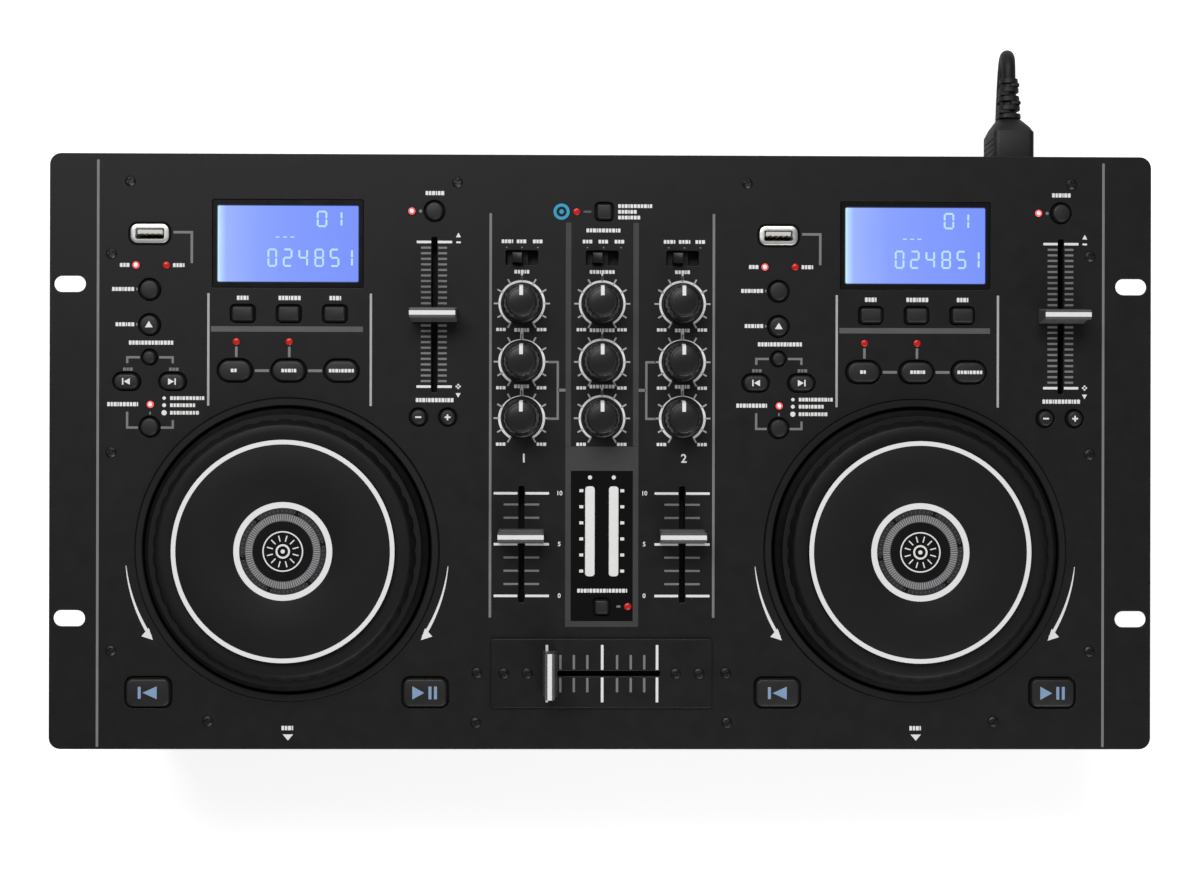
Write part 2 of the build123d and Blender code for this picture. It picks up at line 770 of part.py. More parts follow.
exit_y = case_rear + inlet_flange + connector_body + relief_shoulder + relief_l
cord_low = cord_d / 2 + floor_gap
coil_step = cord_d + coil_gap
coil_high = cord_low + coil_step
coil_out_r = coil_mid_r + coil_turns / 4 * coil_step
coil_right = coil_x + coil_out_r

# The lead drops close behind its strain relief, turns back under it and runs in under the case.
lead_points = [
    (inlet_x, exit_y, inlet_z),
    (inlet_x, exit_y + 6.4, inlet_z),
    (inlet_x + 0.6, exit_y + 11.8, inlet_z - 5.6),
    (inlet_x + 3.0, exit_y + 12.8, inlet_z - 22.2),
    (inlet_x + 5.2, exit_y + 3.7, inlet_z - 37.8),
    (inlet_x + 6.4, exit_y - 12.0, cord_low),
    (inlet_x + 5.2, exit_y - 34.0, cord_low),
    (inlet_x + 0.8, exit_y - 56.0, cord_low),
    (coil_right, coil_y + coil_start_y + 20.0, cord_low),
    (coil_right, coil_y + coil_start_y, cord_low),
]
# From the coil's upper layer the lead comes down beside it and runs out to the plug.
plug_x = 231.6
plug_z = plug_w / 2
plug_y = coil_y - 134.0
tail_points = [
    (coil_right, coil_y - coil_start_y, coil_high),
    (coil_right, coil_y - 25.0, coil_high),
    (coil_right + 4.6, coil_y - 44.0, coil_high - 4.8),
    (coil_right + 16.0, coil_y - 62.0, cord_low),
    (coil_right + 30.0, coil_y - 78.0, cord_low + 1.5),
    (coil_right + 41.0, coil_y - 97.0, plug_z - 2.6),
    (plug_x, coil_y - 117.0, plug_z),
    (plug_x, plug_y, plug_z),
]


def rounded(points):
    """The free lead's path: straight runs with an arc at each point, as wide as the runs allow."""
    radii = []
    for a, b, c in zip(points, points[1:], points[2:]):
        before = Vector(*b) - Vector(*a)
        after = Vector(*c) - Vector(*b)
        turn = math.radians(before.get_angle(after))
        radii.append(0.45 * min(before.length, after.length) / math.tan(turn / 2))
    print("arc radii", [round(r, 1) for r in radii])
    return FilletPolyline(*points, radius=radii)


def coil_at(turn):
    """Place and heading on the coil: in over half the turns, up at the inner turn, and out again."""
    half = coil_turns / 2
    inward = turn < half
    radius = coil_out_r - coil_step * (turn if inward else coil_turns - turn)
    climb = min(max((turn - half + 0.25) / 0.5, 0.0), 1.0)
    height = cord_low + coil_step * climb * climb * (3 - 2 * climb)
    angle = -2 * math.pi * turn
    shrink = (-coil_step if inward else coil_step) / (2 * math.pi) if turn != half else 0.0
    if turn in (0, coil_turns):
        shrink = 0.0
    rise = coil_step * 6 * climb * (1 - climb) / 0.5 / (2 * math.pi)
    place = Vector(coil_x + radius * math.cos(angle), coil_y + radius * math.sin(angle), height)
    heading = Vector(
        radius * math.sin(angle) + shrink * math.cos(angle),
        -radius * math.cos(angle) + shrink * math.sin(angle),
        rise,
    )
    return place, heading.normalized()


def arc_from(start, heading, end):
    """The arc that leaves start along heading and ends at end."""
    across = end - start
    side = across - heading * across.dot(heading)
    if side.length < 1e-6:
        return Line(start, end)
    half = math.radians(heading.get_angle(across))
    radius = across.length / (2 * math.sin(half))
    inward = side.normalized()
    middle = start + heading * (radius * math.sin(half)) + inward * (radius * (1 - math.cos(half)))
    return ThreePointArc(start, middle, end)


def biarc(start, heading, end, last):
    """Two arcs from start to end that share a tangent where they meet."""
    across = end - start
    both = heading + last
    a = 2 * (1 - heading.dot(last))
    b = 2 * across.dot(both)
    c = -across.dot(across)
    reach = -c / b if abs(a) < 1e-9 else (-b + math.sqrt(b * b - 4 * a * c)) / (2 * a)
    first = start + heading * reach
    second = end - last * reach
    meet = (first + second) * 0.5
    way = (second - first).normalized()
    return [arc_from(start, heading, meet), arc_from(meet, way, end)]


def cord_coil():
    """The spare length wound in two layers, as one tube along quarter-turn pairs of arcs."""
    entry = Vector(coil_right, coil_y + coil_start_y, cord_low)
    leave = Vector(coil_right, coil_y - coil_start_y, coil_high)
    stations = [coil_at(i / 4) for i in range(4 * coil_turns + 1)]
    edges = [Line(entry, stations[0][0])]
    for (start, heading), (end, last) in zip(stations, stations[1:]):
        edges += biarc(start, heading, end, last)
    edges.append(Line(stations[-1][0], leave))
    path = Wire(edges)
    samples = [path @ (i / 900) for i in range(901)]
    spacing = path.length / 900
    apart = int(3 * cord_d / spacing)
    least = min(
        (a - b).length for i, a in enumerate(samples) for b in samples[i + apart :]
    )
    print("coil length", round(path.length, 1), "least gap", round(least - cord_d, 2))
    return sweep_cord(path), path.length


def cord_lead():
    """The two free stretches, from the strain relief to the coil and from the coil to the plug."""
    paths = [rounded(lead_points), rounded(tail_points)]
    stretches = [sweep_cord(path) for path in paths]
    length = sum(path.length for path in paths)
    volume = sum(stretch.volume for stretch in stretches)
    print("tube volume", round(volume), "section times length", round(cord_side**2 * length))
    return stretches, length


def mains_plug():
    """A moulded three-pin plug lying on its side, pins towards the front."""
    along = Plane(origin=(plug_x, plug_y, plug_z), x_dir=(1, 0, 0), z_dir=(0, -1, 0))
    relief = frustum(relief_tip, relief_tip, plug_relief_root, plug_relief_root, plug_relief)
    flare = Pos(0, 0, plug_relief) * frustum(plug_root, plug_root, plug_w, plug_w, plug_flare_l)
    face = chamfer(Rectangle(plug_w, plug_w).vertices(), plug_corner)
    face = lift(face, plug_relief + plug_flare_l, plug_l - plug_flare_l)
    front = plug_relief + plug_l
    blade = lift(Pos(0, -blade_drop) * Rectangle(blade_t, blade_w), front, blade_l)
    blades = [Pos(side * blade_pitch / 2, 0) * blade for side in (-1, 1)]
    earth = lift(Pos(0, earth_rise) * polygon(earth_r, earth_sides), front, earth_l)
    return along * (relief + flare + face + blades + earth)


# ---------------------------------------------------------------- write every node
save("top_panel", top_panel())
save("lower_case", lower_case())
save("rubber_feet", rubber_feet())
save("panel_screws", panel_screws())
save("crossfader_plate", crossfader_plate())
save("display_screens", [Pos(x0, display_y) * display_screen() for _, x0 in decks])
cup_and_spindle = [jog_surround(), jog_spindle()]
save("jog_surrounds", [Pos(x0, jog_y) * piece for _, x0 in decks for piece in cup_and_spindle])
save("usb_sockets", [Pos(x0, 0) * usb_socket() for _, x0 in decks])
save("indicator_lights", indicator_lights())
save("control_boards", control_boards())
save("disc_drives", [Pos(x0, 0) * disc_drive() for _, x0 in decks])
save("audio_sockets", audio_sockets())
save("mains_inlet", mains_inlet())
save("power_rocker", power_rocker())

tracks = [fader_track(x0 + pitch_x, pitch_y, pitch_travel, 0, z_under) for _, x0 in decks]
tracks += [fader_track(side * line_x, line_y, line_travel, 0, z_under) for side in (-1, 1)]
tracks.append(fader_track(0, cross_y, cross_travel, 90, z_top))
save("fader_tracks", tracks)

for side, x0 in decks:
    save(f"jog_wheel_{side}", Pos(x0, jog_y) * jog_wheel())
    save(f"jog_top_{side}", Pos(x0, jog_y) * jog_top())
    save(f"pitch_fader_{side}", fader_cap(x0 + pitch_x, pitch_y, 0, z_top, z_under))
    for name, keys in deck_keys.items():
        save(f"{name}_{side}", key_strip(keys, x0))
for name, keys in mixer_keys.items():
    save(name, key_strip(keys, 0))
for column, x in (("left", -knob_column), ("middle", 0), ("right", knob_column)):
    save(f"slide_switch_{column}", slide_switch(x))
    for row, y in zip(("upper", "centre", "lower"), knob_rows):
        save(f"knob_{column}_{row}", knob(x, y))
for side, sign in (("left", -1), ("right", 1)):
    save(f"line_fader_{side}", fader_cap(sign * line_x, line_y + line_rest, 0, z_top, z_under))
save("crossfader", fader_cap(-cross_travel / 2, cross_y, 90, z_top + plate_t, z_top))

save("cord_connector", cord_connector())
tubes, free_length = cord_lead()
save("cord_lead", tubes)
coil, coil_length = cord_coil()
save("cord_coil", coil)
save("mains_plug", mains_plug())
print("cord length", round(free_length + coil_length, 1))
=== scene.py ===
import math

import bmesh
import bpy
from mathutils import Matrix, Vector


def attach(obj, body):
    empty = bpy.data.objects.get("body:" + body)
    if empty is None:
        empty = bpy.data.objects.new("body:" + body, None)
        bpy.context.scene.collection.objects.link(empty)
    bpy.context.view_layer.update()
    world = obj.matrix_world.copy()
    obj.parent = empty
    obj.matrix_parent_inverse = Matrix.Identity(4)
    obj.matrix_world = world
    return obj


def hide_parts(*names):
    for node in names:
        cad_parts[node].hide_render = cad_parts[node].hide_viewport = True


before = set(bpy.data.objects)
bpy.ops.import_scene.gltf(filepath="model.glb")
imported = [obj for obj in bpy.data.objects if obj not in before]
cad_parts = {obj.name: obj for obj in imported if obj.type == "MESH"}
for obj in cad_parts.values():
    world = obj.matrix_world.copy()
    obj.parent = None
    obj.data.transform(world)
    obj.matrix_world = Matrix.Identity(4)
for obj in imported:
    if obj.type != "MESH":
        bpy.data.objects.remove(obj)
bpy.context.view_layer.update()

# ------------------------------------------------------------------ camera, floor and light
# The console lies on a white studio floor and is seen from straight above, with its front edge at the
# bottom of the picture. One large soft lamp stands over its rear and a weaker one over its front. The
# floor glows for the camera alone, so it reads as white and still takes a shadow.
MM = 0.001
PICTURE_W = 1200
FOCAL_PX = 2169
CAMERA_PLACE = (-14.2, 2.9, 1043.0)
CAMERA_TILT = (-0.064, 0.805, -0.124)

camera = bpy.data.objects.new("camera", bpy.data.cameras.new("camera"))
bpy.context.scene.collection.objects.link(camera)
camera.data.sensor_width = 36
camera.data.lens = 36 * FOCAL_PX / PICTURE_W
camera.data.clip_end = 20
turn = Matrix.Identity(3)
for axis, angle in zip("XYZ", CAMERA_TILT):
    turn = turn @ Matrix.Rotation(math.radians(angle), 3, axis)
camera.matrix_world = Matrix.Translation(Vector(CAMERA_PLACE) * MM) @ turn.transposed().to_4x4()
bpy.context.scene.camera = camera


class Value:
    """A socket in a material's maths: an expression on values adds its Math nodes."""

    def __init__(self, paint, socket):
        self.paint = paint
        self.socket = socket

    def math(self, operation, first, second):
        return self.paint.add("ShaderNodeMath", {"operation": operation}, {0: first, 1: second})

    def __add__(self, other):
        return self.math("ADD", self, other)

    def __radd__(self, other):
        return self.math("ADD", other, self)

    def __sub__(self, other):
        return self.math("SUBTRACT", self, other)

    def __rsub__(self, other):
        return self.math("SUBTRACT", other, self)

    def __mul__(self, other):
        return self.math("MULTIPLY", self, other)

    def __rmul__(self, other):
        return self.math("MULTIPLY", other, self)

    def __truediv__(self, other):
        return self.math("DIVIDE", self, other)

    def __rtruediv__(self, other):
        return self.math("DIVIDE", other, self)

    def __gt__(self, other):
        return self.math("GREATER_THAN", self, other)

    def __lt__(self, other):
        return self.math("LESS_THAN", self, other)


class Paint:
    """A material in the making, on one Principled shader whose plain numbers are set by name."""

    def __init__(self, name, **plain):
        self.material = bpy.data.materials.new(name)
        self.material.use_nodes = True
        self.tree = self.material.node_tree
        self.shader = self.tree.nodes["Principled BSDF"]
        for socket, value in plain.items():
            self.shader.inputs[socket.replace("_", " ")].default_value = value

    def add(self, kind, settings, values, out=0):
        node = self.tree.nodes.new(kind)
        for key, value in settings.items():
            if key == "stops":
                for element, (position, color) in zip(stops_of(node, len(value)), value):
                    element.position = position
                    element.color = color
            else:
                setattr(node, key, value)
        for key, value in values.items():
            if isinstance(value, Value):
                self.tree.links.new(value.socket, node.inputs[key])
            else:
                node.inputs[key].default_value = value
        return Value(self, node.outputs[out])

    def place(self):
        return self.add("ShaderNodeTexCoord", {}, {}, "Object")

    def noise(self, scale, detail=3.0, place=None):
        values = {"Vector": place or self.place(), "Scale": scale, "Detail": detail}
        return self.add("ShaderNodeTexNoise", {}, values)

    def mix(self, factor, first, second):
        """A colour between two, which may be links or plain colours."""
        values = {0: factor, 6: first, 7: second}
        return self.add("ShaderNodeMix", {"data_type": "RGBA"}, values, 2)

    def bump(self, height, depth, strength=1.0):
        values = {"Height": height, "Distance": depth, "Strength": strength}
        return self.add("ShaderNodeBump", {}, values)

    def feed(self, **links):
        for socket, value in links.items():
            self.tree.links.new(value.socket, self.shader.inputs[socket.replace("_", " ")])
        return self.material


def stops_of(ramp, count):
    """A ramp's colour stops, as many as asked for."""
    elements = ramp.color_ramp.elements
    while len(elements) < count:
        elements.new(1.0)
    return elements


def rgb(*levels):
    """A colour as it reads on a screen, 0 to 255, made linear."""
    linear = [((c / 255 + 0.055) / 1.055) ** 2.4 if c > 10 else c / 255 / 12.92 for c in levels]
    return (*linear, 1.0)


def lamp(name, place, aim, size, power):
    light = bpy.data.lights.new(name, "AREA")
    light.shape = "RECTANGLE"
    light.size, light.size_y = size
    light.energy = power
    holder = bpy.data.objects.new(name, light)
    bpy.context.scene.collection.objects.link(holder)
    away = (Vector(aim) - Vector(place)).to_track_quat("-Z", "Y")
    holder.matrix_world = Matrix.Translation(place) @ away.to_matrix().to_4x4()


lamp("rear_light", (-0.35, 1.1, 1.5), (0, 0, 0.09), size=(1.6, 1.0), power=23)
lamp("front_light", (0.5, -1.5, 1.2), (0, 0, 0.05), size=(1.4, 1.0), power=17)

FILL = 0.11
world = bpy.data.worlds.new("studio")
world.use_nodes = True
bpy.context.scene.world = world
backdrop = world.node_tree.nodes["Background"]
path = world.node_tree.nodes.new("ShaderNodeLightPath")
seen = world.node_tree.nodes.new("ShaderNodeMix")
seen.data_type = "RGBA"
world.node_tree.links.new(path.outputs["Is Camera Ray"], seen.inputs[0])
seen.inputs[6].default_value = (FILL, FILL, FILL, 1.0)
seen.inputs[7].default_value = (1.0, 1.0, 1.0, 1.0)
world.node_tree.links.new(seen.outputs[2], backdrop.inputs["Color"])

floor_mesh = bpy.data.meshes.new("studio_floor")
REACH = 4
corners = [(-REACH, -REACH, 0), (REACH, -REACH, 0), (REACH, REACH, 0), (-REACH, REACH, 0)]
floor_mesh.from_pydata(corners, [], [(0, 1, 2, 3)])
floor = bpy.data.objects.new("studio_floor", floor_mesh)
bpy.context.scene.collection.objects.link(floor)
floor_paint = Paint("floor_paper", Roughness=0.9, Specular_IOR_Level=0.0, Emission_Strength=1.0)
camera_ray = floor_paint.add("ShaderNodeLightPath", {}, {}, "Is Camera Ray")
floor_mesh.materials.append(floor_paint.feed(
    Base_Color=floor_paint.mix(floor_paint.noise(3.0), rgb(240, 240, 240), rgb(247, 247, 247)),
    Emission_Color=floor_paint.mix(camera_ray, rgb(0, 0, 0), rgb(206, 206, 206)),
))

bpy.context.scene.view_settings.view_transform = "Standard"

# ------------------------------------------------------------------ mains cord
# The real lead is a round rubber-sheathed cable, 6.4 mm thick and 1.5 m long. It drops close behind its
# strain relief, turns in under the case, where the spare length is wound, and ends in its plug.
CORD_D = 6.4
CORD_LOW = CORD_D / 2 + 0.05
EXIT = (187.0, 171.5, 50.0)
COIL_MIDDLE = (140.0, 72.0)
COIL_TURNS = 5
COIL_STEP = CORD_D + 0.5
COIL_OUT_R = 38.4 + COIL_TURNS / 4 * COIL_STEP
COIL_RIGHT = COIL_MIDDLE[0] + COIL_OUT_R
COIL_HIGH = CORD_LOW + COIL_STEP
lead_points = [
    EXIT,
    (187.0, 177.9, 50.0),
    (187.6, 183.3, 44.4),
    (190.0, 184.3, 27.8),
    (192.2, 175.2, 12.2),
    (193.4, 159.5, CORD_LOW),
    (192.2, 137.5, CORD_LOW),
    (187.8, 115.5, CORD_LOW),
    (COIL_RIGHT, 98.4, CORD_LOW),
    (COIL_RIGHT, 78.4, CORD_LOW),
]
tail_points = [
    (COIL_RIGHT, 65.6, COIL_HIGH),
    (COIL_RIGHT, 47.0, COIL_HIGH),
    (COIL_RIGHT + 4.6, 28.0, COIL_HIGH - 4.8),
    (COIL_RIGHT + 16.0, 10.0, CORD_LOW),
    (COIL_RIGHT + 30.0, -6.0, CORD_LOW + 1.5),
    (COIL_RIGHT + 41.0, -25.0, 9.4),
    (231.6, -45.0, 12.0),
    (231.6, -62.0, 12.0),
]
coil_points = []
TURN_POINTS = 16
for i in range(TURN_POINTS * COIL_TURNS + 1):
    wound = i / TURN_POINTS
    inward = wound < COIL_TURNS / 2
    radius = COIL_OUT_R - COIL_STEP * (wound if inward else COIL_TURNS - wound)
    climb = min(max((wound - COIL_TURNS / 2 + 0.25) / 0.5, 0.0), 1.0)
    height = CORD_LOW + COIL_STEP * climb * climb * (3 - 2 * climb)
    angle = -2 * math.pi * wound
    x = COIL_MIDDLE[0] + radius * math.cos(angle)
    y = COIL_MIDDLE[1] + radius * math.sin(angle)
    coil_points.append((x, y, height))

cord_curve = bpy.data.curves.new("mains_cord", "CURVE")
cord_curve.dimensions = "3D"
cord_curve.bevel_depth = CORD_D / 2 * MM
cord_curve.bevel_resolution = 6
cord_curve.resolution_u = 6
cord_curve.use_fill_caps = True
spline = cord_curve.splines.new("NURBS")
route = lead_points + coil_points + tail_points
spline.points.add(len(route) - 1)
for point, (x, y, z) in zip(spline.points, route):
    point.co = (x * MM, y * MM, z * MM, 1)
spline.order_u = 3
spline.use_endpoint_u = True
cord = bpy.data.objects.new("mains_cord", cord_curve)
bpy.context.scene.collection.objects.link(cord)

rubber = Paint("cord_rubber", Roughness=0.55, Specular_IOR_Level=0.35)
sheath_grain = rubber.noise(1400.0, 2.0)
cord_curve.materials.append(rubber.feed(
    Base_Color=rubber.mix(rubber.noise(60.0), rgb(15, 15, 16), rgb(23, 23, 24)),
    Normal=rubber.bump(sheath_grain, 0.0002, 0.35),
))
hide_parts("cord_lead", "cord_coil")
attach(cord, "console")

# ------------------------------------------------------------------ connector and plug of the lead
# Both ends of the lead are black soft vinyl, moulded on the cable in one shot. The connector has a strain
# relief with slots cut from either side in turn, and the plug holds two brass blades and an earth pin.
class Skin:
    """The mesh of one piece in the making, in millimetres, with the paint that each face wears."""

    def __init__(self, place=Matrix.Identity(4)):
        self.mesh = bmesh.new()
        self.paints = []
        self.place = place

    def ring(self, points):
        return [self.mesh.verts.new(self.place @ Vector(point)) for point in points]

    def face(self, corners, paint, smooth=True):
        if paint not in self.paints:
            self.paints.append(paint)
        face = self.mesh.faces.new(corners)
        face.material_index = self.paints.index(paint)
        face.smooth = smooth

    def loft(self, rings, paint, closed=False):
        """Rings of points joined into one wall, closed at both ends or round into each other."""
        rings = [self.ring(points) for points in rings]
        pairs = list(zip(rings, rings[1:]))
        if closed:
            pairs.append((rings[-1], rings[0]))
        for low, high in pairs:
            for a, b, c, d in zip(low, low[1:] + low[:1], high[1:] + high[:1], high):
                self.face((a, b, c, d), paint)
        if not closed:
            self.face(rings[0][::-1], paint, False)
            self.face(rings[-1], paint, False)

    def stack(self, layers, paint, closed=False):
        """Outlines, each drawn in by its inset and set at its height, joined into one wall."""
        self.loft([[(x, y, z) for x, y in outline(inset)] for outline, inset, z in layers], paint, closed)

    def rise(self, outline, levels, paint, closed=False):
        """One outline at several heights, drawn in by an inset at each."""
        self.stack([(outline, inset, z) for inset, z in levels], paint, closed)

    def revolve(self, x, y, profile, paint, closed=False, sides=48):
        """A turned body about an upright axis, by the radii and heights of its profile."""
        self.rise(circle(0, x, y, sides), [(-radius, z) for radius, z in profile], paint, closed)

    def lay(self, mesh, paint, place=Matrix.Identity(4)):
        """A ready mesh, in millimetres, set in its place."""
        verts = self.ring([place @ v.co for v in mesh.vertices])
        for polygon in mesh.polygons:
            self.face([verts[i] for i in polygon.vertices], paint, False)

    def done(self, name, body, slot, *nodes):
        """The finished piece, riding on its body in place of its CAD nodes."""
        bmesh.ops.recalc_face_normals(self.mesh, faces=self.mesh.faces)
        bmesh.ops.scale(self.mesh, vec=(MM, MM, MM), verts=self.mesh.verts)
        mesh = bpy.data.meshes.new(name)
        self.mesh.to_mesh(mesh)
        self.mesh.free()
        mesh.set_sharp_from_angle(angle=math.radians(35))
        for paint in self.paints:
            mesh.materials.append(paint)
        return placed(name, mesh, body, slot, *nodes)


def placed(name, mesh, body, slot, *nodes):
    piece = bpy.data.objects.new(name, mesh)
    bpy.context.scene.collection.objects.link(piece)
    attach(piece, body)
    if nodes:
        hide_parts(*nodes)
    return piece


def circle(radius, x=0.0, y=0.0, sides=48):
    """The outline of a round piece, for any inset."""
    turns = [2 * math.pi * i / sides for i in range(sides)]
    return lambda inset: [
        (x + (radius - inset) * math.cos(a), y + (radius - inset) * math.sin(a)) for a in turns
    ]


def oblong(w, l, corner, x=0.0, y=0.0, steps=6):
    """The outline of a rectangle with round corners, for any inset."""
    def at(inset):
        r = max(corner - inset, 0.02)
        points = []
        for quarter, (across, along) in enumerate(((1, 1), (-1, 1), (-1, -1), (1, -1))):
            for i in range(steps + 1):
                angle = (quarter + i / steps) * math.pi / 2
                px = x + across * (w / 2 - inset - r) + r * math.cos(angle)
                py = y + along * (l / 2 - inset - r) + r * math.sin(angle)
                if not points or math.hypot(px - points[-1][0], py - points[-1][1]) > 1e-4:
                    points.append((px, py))
        if math.hypot(points[0][0] - points[-1][0], points[0][1] - points[-1][1]) < 1e-4:
            points.pop()
        return points
    return at


def moulded(name, low, high, mottle=40.0, gloss=(0.4, 0.55), grain=900.0, depth=0.00004, **plain):
    """Plastic, rubber or paint: a mottled colour, uneven gloss and a fine moulded grain."""
    paint = Paint(name, **plain)
    return paint.feed(
        Base_Color=paint.mix(paint.noise(mottle), rgb(*low), rgb(*high)),
        Roughness=gloss[0] + paint.noise(mottle * 2.5, 4.0) * (gloss[1] - gloss[0]),
        Normal=paint.bump(paint.noise(grain, 2.0), depth),
    )


def metal(name, low, high, gloss=(0.22, 0.4), brush=(300.0, 300.0, 2200.0)):
    """Plated or drawn metal with fine brush marks along one direction."""
    paint = Paint(name, Metallic=1.0)
    stretched = paint.add("ShaderNodeMapping", {}, {"Vector": paint.place(), "Scale": brush})
    marks = paint.add("ShaderNodeTexNoise", {}, {"Vector": stretched, "Scale": 1.0, "Detail": 3.0})
    return paint.feed(
        Base_Color=paint.mix(paint.noise(90.0), rgb(*low), rgb(*high)),
        Roughness=gloss[0] + marks * (gloss[1] - gloss[0]),
        Normal=paint.bump(marks, 0.00002),
    )


vinyl = moulded("soft_vinyl", (14, 14, 15), (22, 22, 23), 50.0, (0.48, 0.62))
brass = metal("blade_brass", (196, 164, 96), (214, 184, 120))

INLET_X = 187.0
INLET_Z = 50.0
BODY_Y = 124.0
SHOULDER_Y = BODY_Y + 22.5
RELIEF_Y = SHOULDER_Y + 6.5
RELIEF_L = 18.5
RELIEF_ROOT = 10.6
RELIEF_TIP = 8.2
SLOT_FIRST = 3.0
SLOT_PITCH = 4.1
SLOT_T = 1.6
out_of_wall = Matrix(((-1, 0, 0, INLET_X), (0, 0, 1, 0), (0, 1, 0, INLET_Z), (0, 0, 0, 1)))
connector = Skin(out_of_wall)
connector.rise(oblong(16.0, 24.0, 3.0), [(0.4, BODY_Y - 16.0), (0, BODY_Y - 15.6), (0, BODY_Y)], vinyl)
connector.rise(
    oblong(18.5, 27.0, 2.6),
    [(0.8, BODY_Y), (0.25, BODY_Y + 0.25), (0, BODY_Y + 0.8), (0, SHOULDER_Y - 1.2), (0.4, SHOULDER_Y - 0.3)],
    vinyl,
)
GRIP_FIRST = 6.0
GRIP_PITCH = 2.4
for i in range(6):
    z = BODY_Y + GRIP_FIRST + GRIP_PITCH * i
    for side in (-1, 1):
        grip = oblong(0.7, 20.0, 0.34, side * 9.25, 0, 3)
        connector.rise(grip, [(0.1, z), (0, z + 0.3), (0.1, z + 1.2)], vinyl)
neck = SHOULDER_Y - 0.4
connector.stack([
    (oblong(17.6, 26.0, 2.4), 0, neck),
    (oblong(16.2, 22.0, 3.4), 0, neck + 2.2),
    (oblong(13.4, 15.8, 4.6), 0, neck + 4.6),
    (oblong(RELIEF_ROOT, RELIEF_ROOT, 4.8), 0, neck + 6.5),
], vinyl)
connector.stack([
    (oblong(RELIEF_ROOT - 3.2, RELIEF_ROOT - 3.2, 3.6), 0, RELIEF_Y),
    (oblong(6.6, 6.6, 3.2), 0, RELIEF_Y + RELIEF_L - 0.4),
], vinyl)
edges = [0.0]
for i in range(4):
    edges += [SLOT_FIRST + i * SLOT_PITCH - SLOT_T / 2, SLOT_FIRST + i * SLOT_PITCH + SLOT_T / 2]
edges.append(RELIEF_L)
for i, (low, high) in enumerate(zip(edges, edges[1:])):
    slotted = i % 2
    slot_side = 1 if (i // 2) % 2 else -1
    layers = []
    for inset, z in ((0.25, low), (0, low + 0.25), (0, high - 0.25), (0.25, high)):
        width = RELIEF_ROOT + (RELIEF_TIP - RELIEF_ROOT) * z / RELIEF_L
        if slotted:
            shape = oblong(width / 2, width, 1.2, -slot_side * width / 4)
        else:
            shape = oblong(width, width, 3.9)
        layers.append((shape, inset, RELIEF_Y + z))
    connector.stack(layers, vinyl)
lead_connector = connector.done("lead_connector", "console", "plug_body", "cord_connector")

PLUG_X = 231.6
PLUG_Z = 12.0
PLUG_Y = -62.0
FACE_Y = 53.0
toward_front = Matrix(((1, 0, 0, PLUG_X), (0, 0, -1, PLUG_Y), (0, 1, 0, PLUG_Z), (0, 0, 0, 1)))
plug = Skin(toward_front)
plug_shapes = (
    (8.0, 3.9, 0.0),
    (11.6, 5.2, 19.6),
    (15.0, 5.6, 20.4),
    (20.4, 5.6, 31.0),
    (23.6, 5.2, 39.0),
    (24.0, 4.8, 42.0),
    (24.0, 4.8, 52.2),
    (22.6, 4.2, FACE_Y),
)
plug.stack([(oblong(width, width, corner), 0, z) for width, corner, z in plug_shapes], vinyl)
for i in range(5):
    z = 4.0 + 3.4 * i
    width = 8.6 + 3.6 * z / 20
    rib = oblong(width, width, width / 2 - 0.1)
    plug.rise(rib, [(0.5, z), (0, z + 0.3), (0, z + 1.4), (0.5, z + 1.7)], vinyl)
for side in (-1, 1):
    plug.rise(
        oblong(1.5, 6.35, 0.3, side * 6.35, -2.0, 2), [(0, FACE_Y - 0.5), (0, 67.7), (0.45, 68.5)], brass
    )
plug.rise(circle(2.35, 0, 6.0, 24), [(0, FACE_Y - 0.5), (0, 69.6), (0.5, 70.9), (1.2, 71.5)], brass)
lead_plug = plug.done("lead_plug", "console", "plug_body", "mains_plug")

# ------------------------------------------------------------------ feet
# Four turned rubber feet stand under the case's corners. Each is drawn up by a screw in its hollow sole.
FOOT_H = 15.0
FOOT_R = 9.8
soft_rubber = moulded("foot_rubber", (12, 12, 12), (20, 20, 21), 70.0, (0.7, 0.85), 500.0, 0.00012)
screw_steel = metal("dark_screw_steel", (40, 40, 42), (66, 66, 68), (0.3, 0.5))
feet = Skin()
for x in (-203.0, 203.0):
    for y in (-108.0, 108.0):
        wall = [(5.0, 0.0), (9.3, 0.0), (FOOT_R, 0.6), (FOOT_R, 5.0), (9.6, 5.6), (FOOT_R, 6.2)]
        wall += [(FOOT_R, FOOT_H), (2.2, FOOT_H), (2.2, 4.2), (5.0, 3.6)]
        feet.revolve(x, y, wall, soft_rubber, True)
        feet.rise(circle(3.6, x, y, 24), [(0.6, 4.4), (0, 4.9), (0, 6.4)], screw_steel)
feet.done("turned_feet", "console", "black_rubber", "rubber_feet")

# ------------------------------------------------------------------ case, drives, boards and fader tracks
# The case is one folded steel sheet, powder-coated black. The drives stand in it on legs, and the boards
# and the fader tracks hang under the panel. They show through the vents, slots and gaps.
coat = Paint("case_powder_coat", Specular_IOR_Level=0.4)
pits = coat.noise(1100.0, 2.0)
coat_material = coat.feed(
    Base_Color=coat.mix(coat.noise(14.0), rgb(19, 19, 20), rgb(27, 27, 28)),
    Roughness=0.42 + coat.noise(260.0) * 0.22,
    Normal=coat.bump(pits, 0.00006),
)
board_resin = moulded("board_resin", (8, 17, 14), (13, 24, 18), 120.0, (0.35, 0.5), 300.0)


def dress(node, material):
    """One material on the mesh that a CAD node keeps."""
    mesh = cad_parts[node].data
    mesh.materials.clear()
    mesh.materials.append(material)


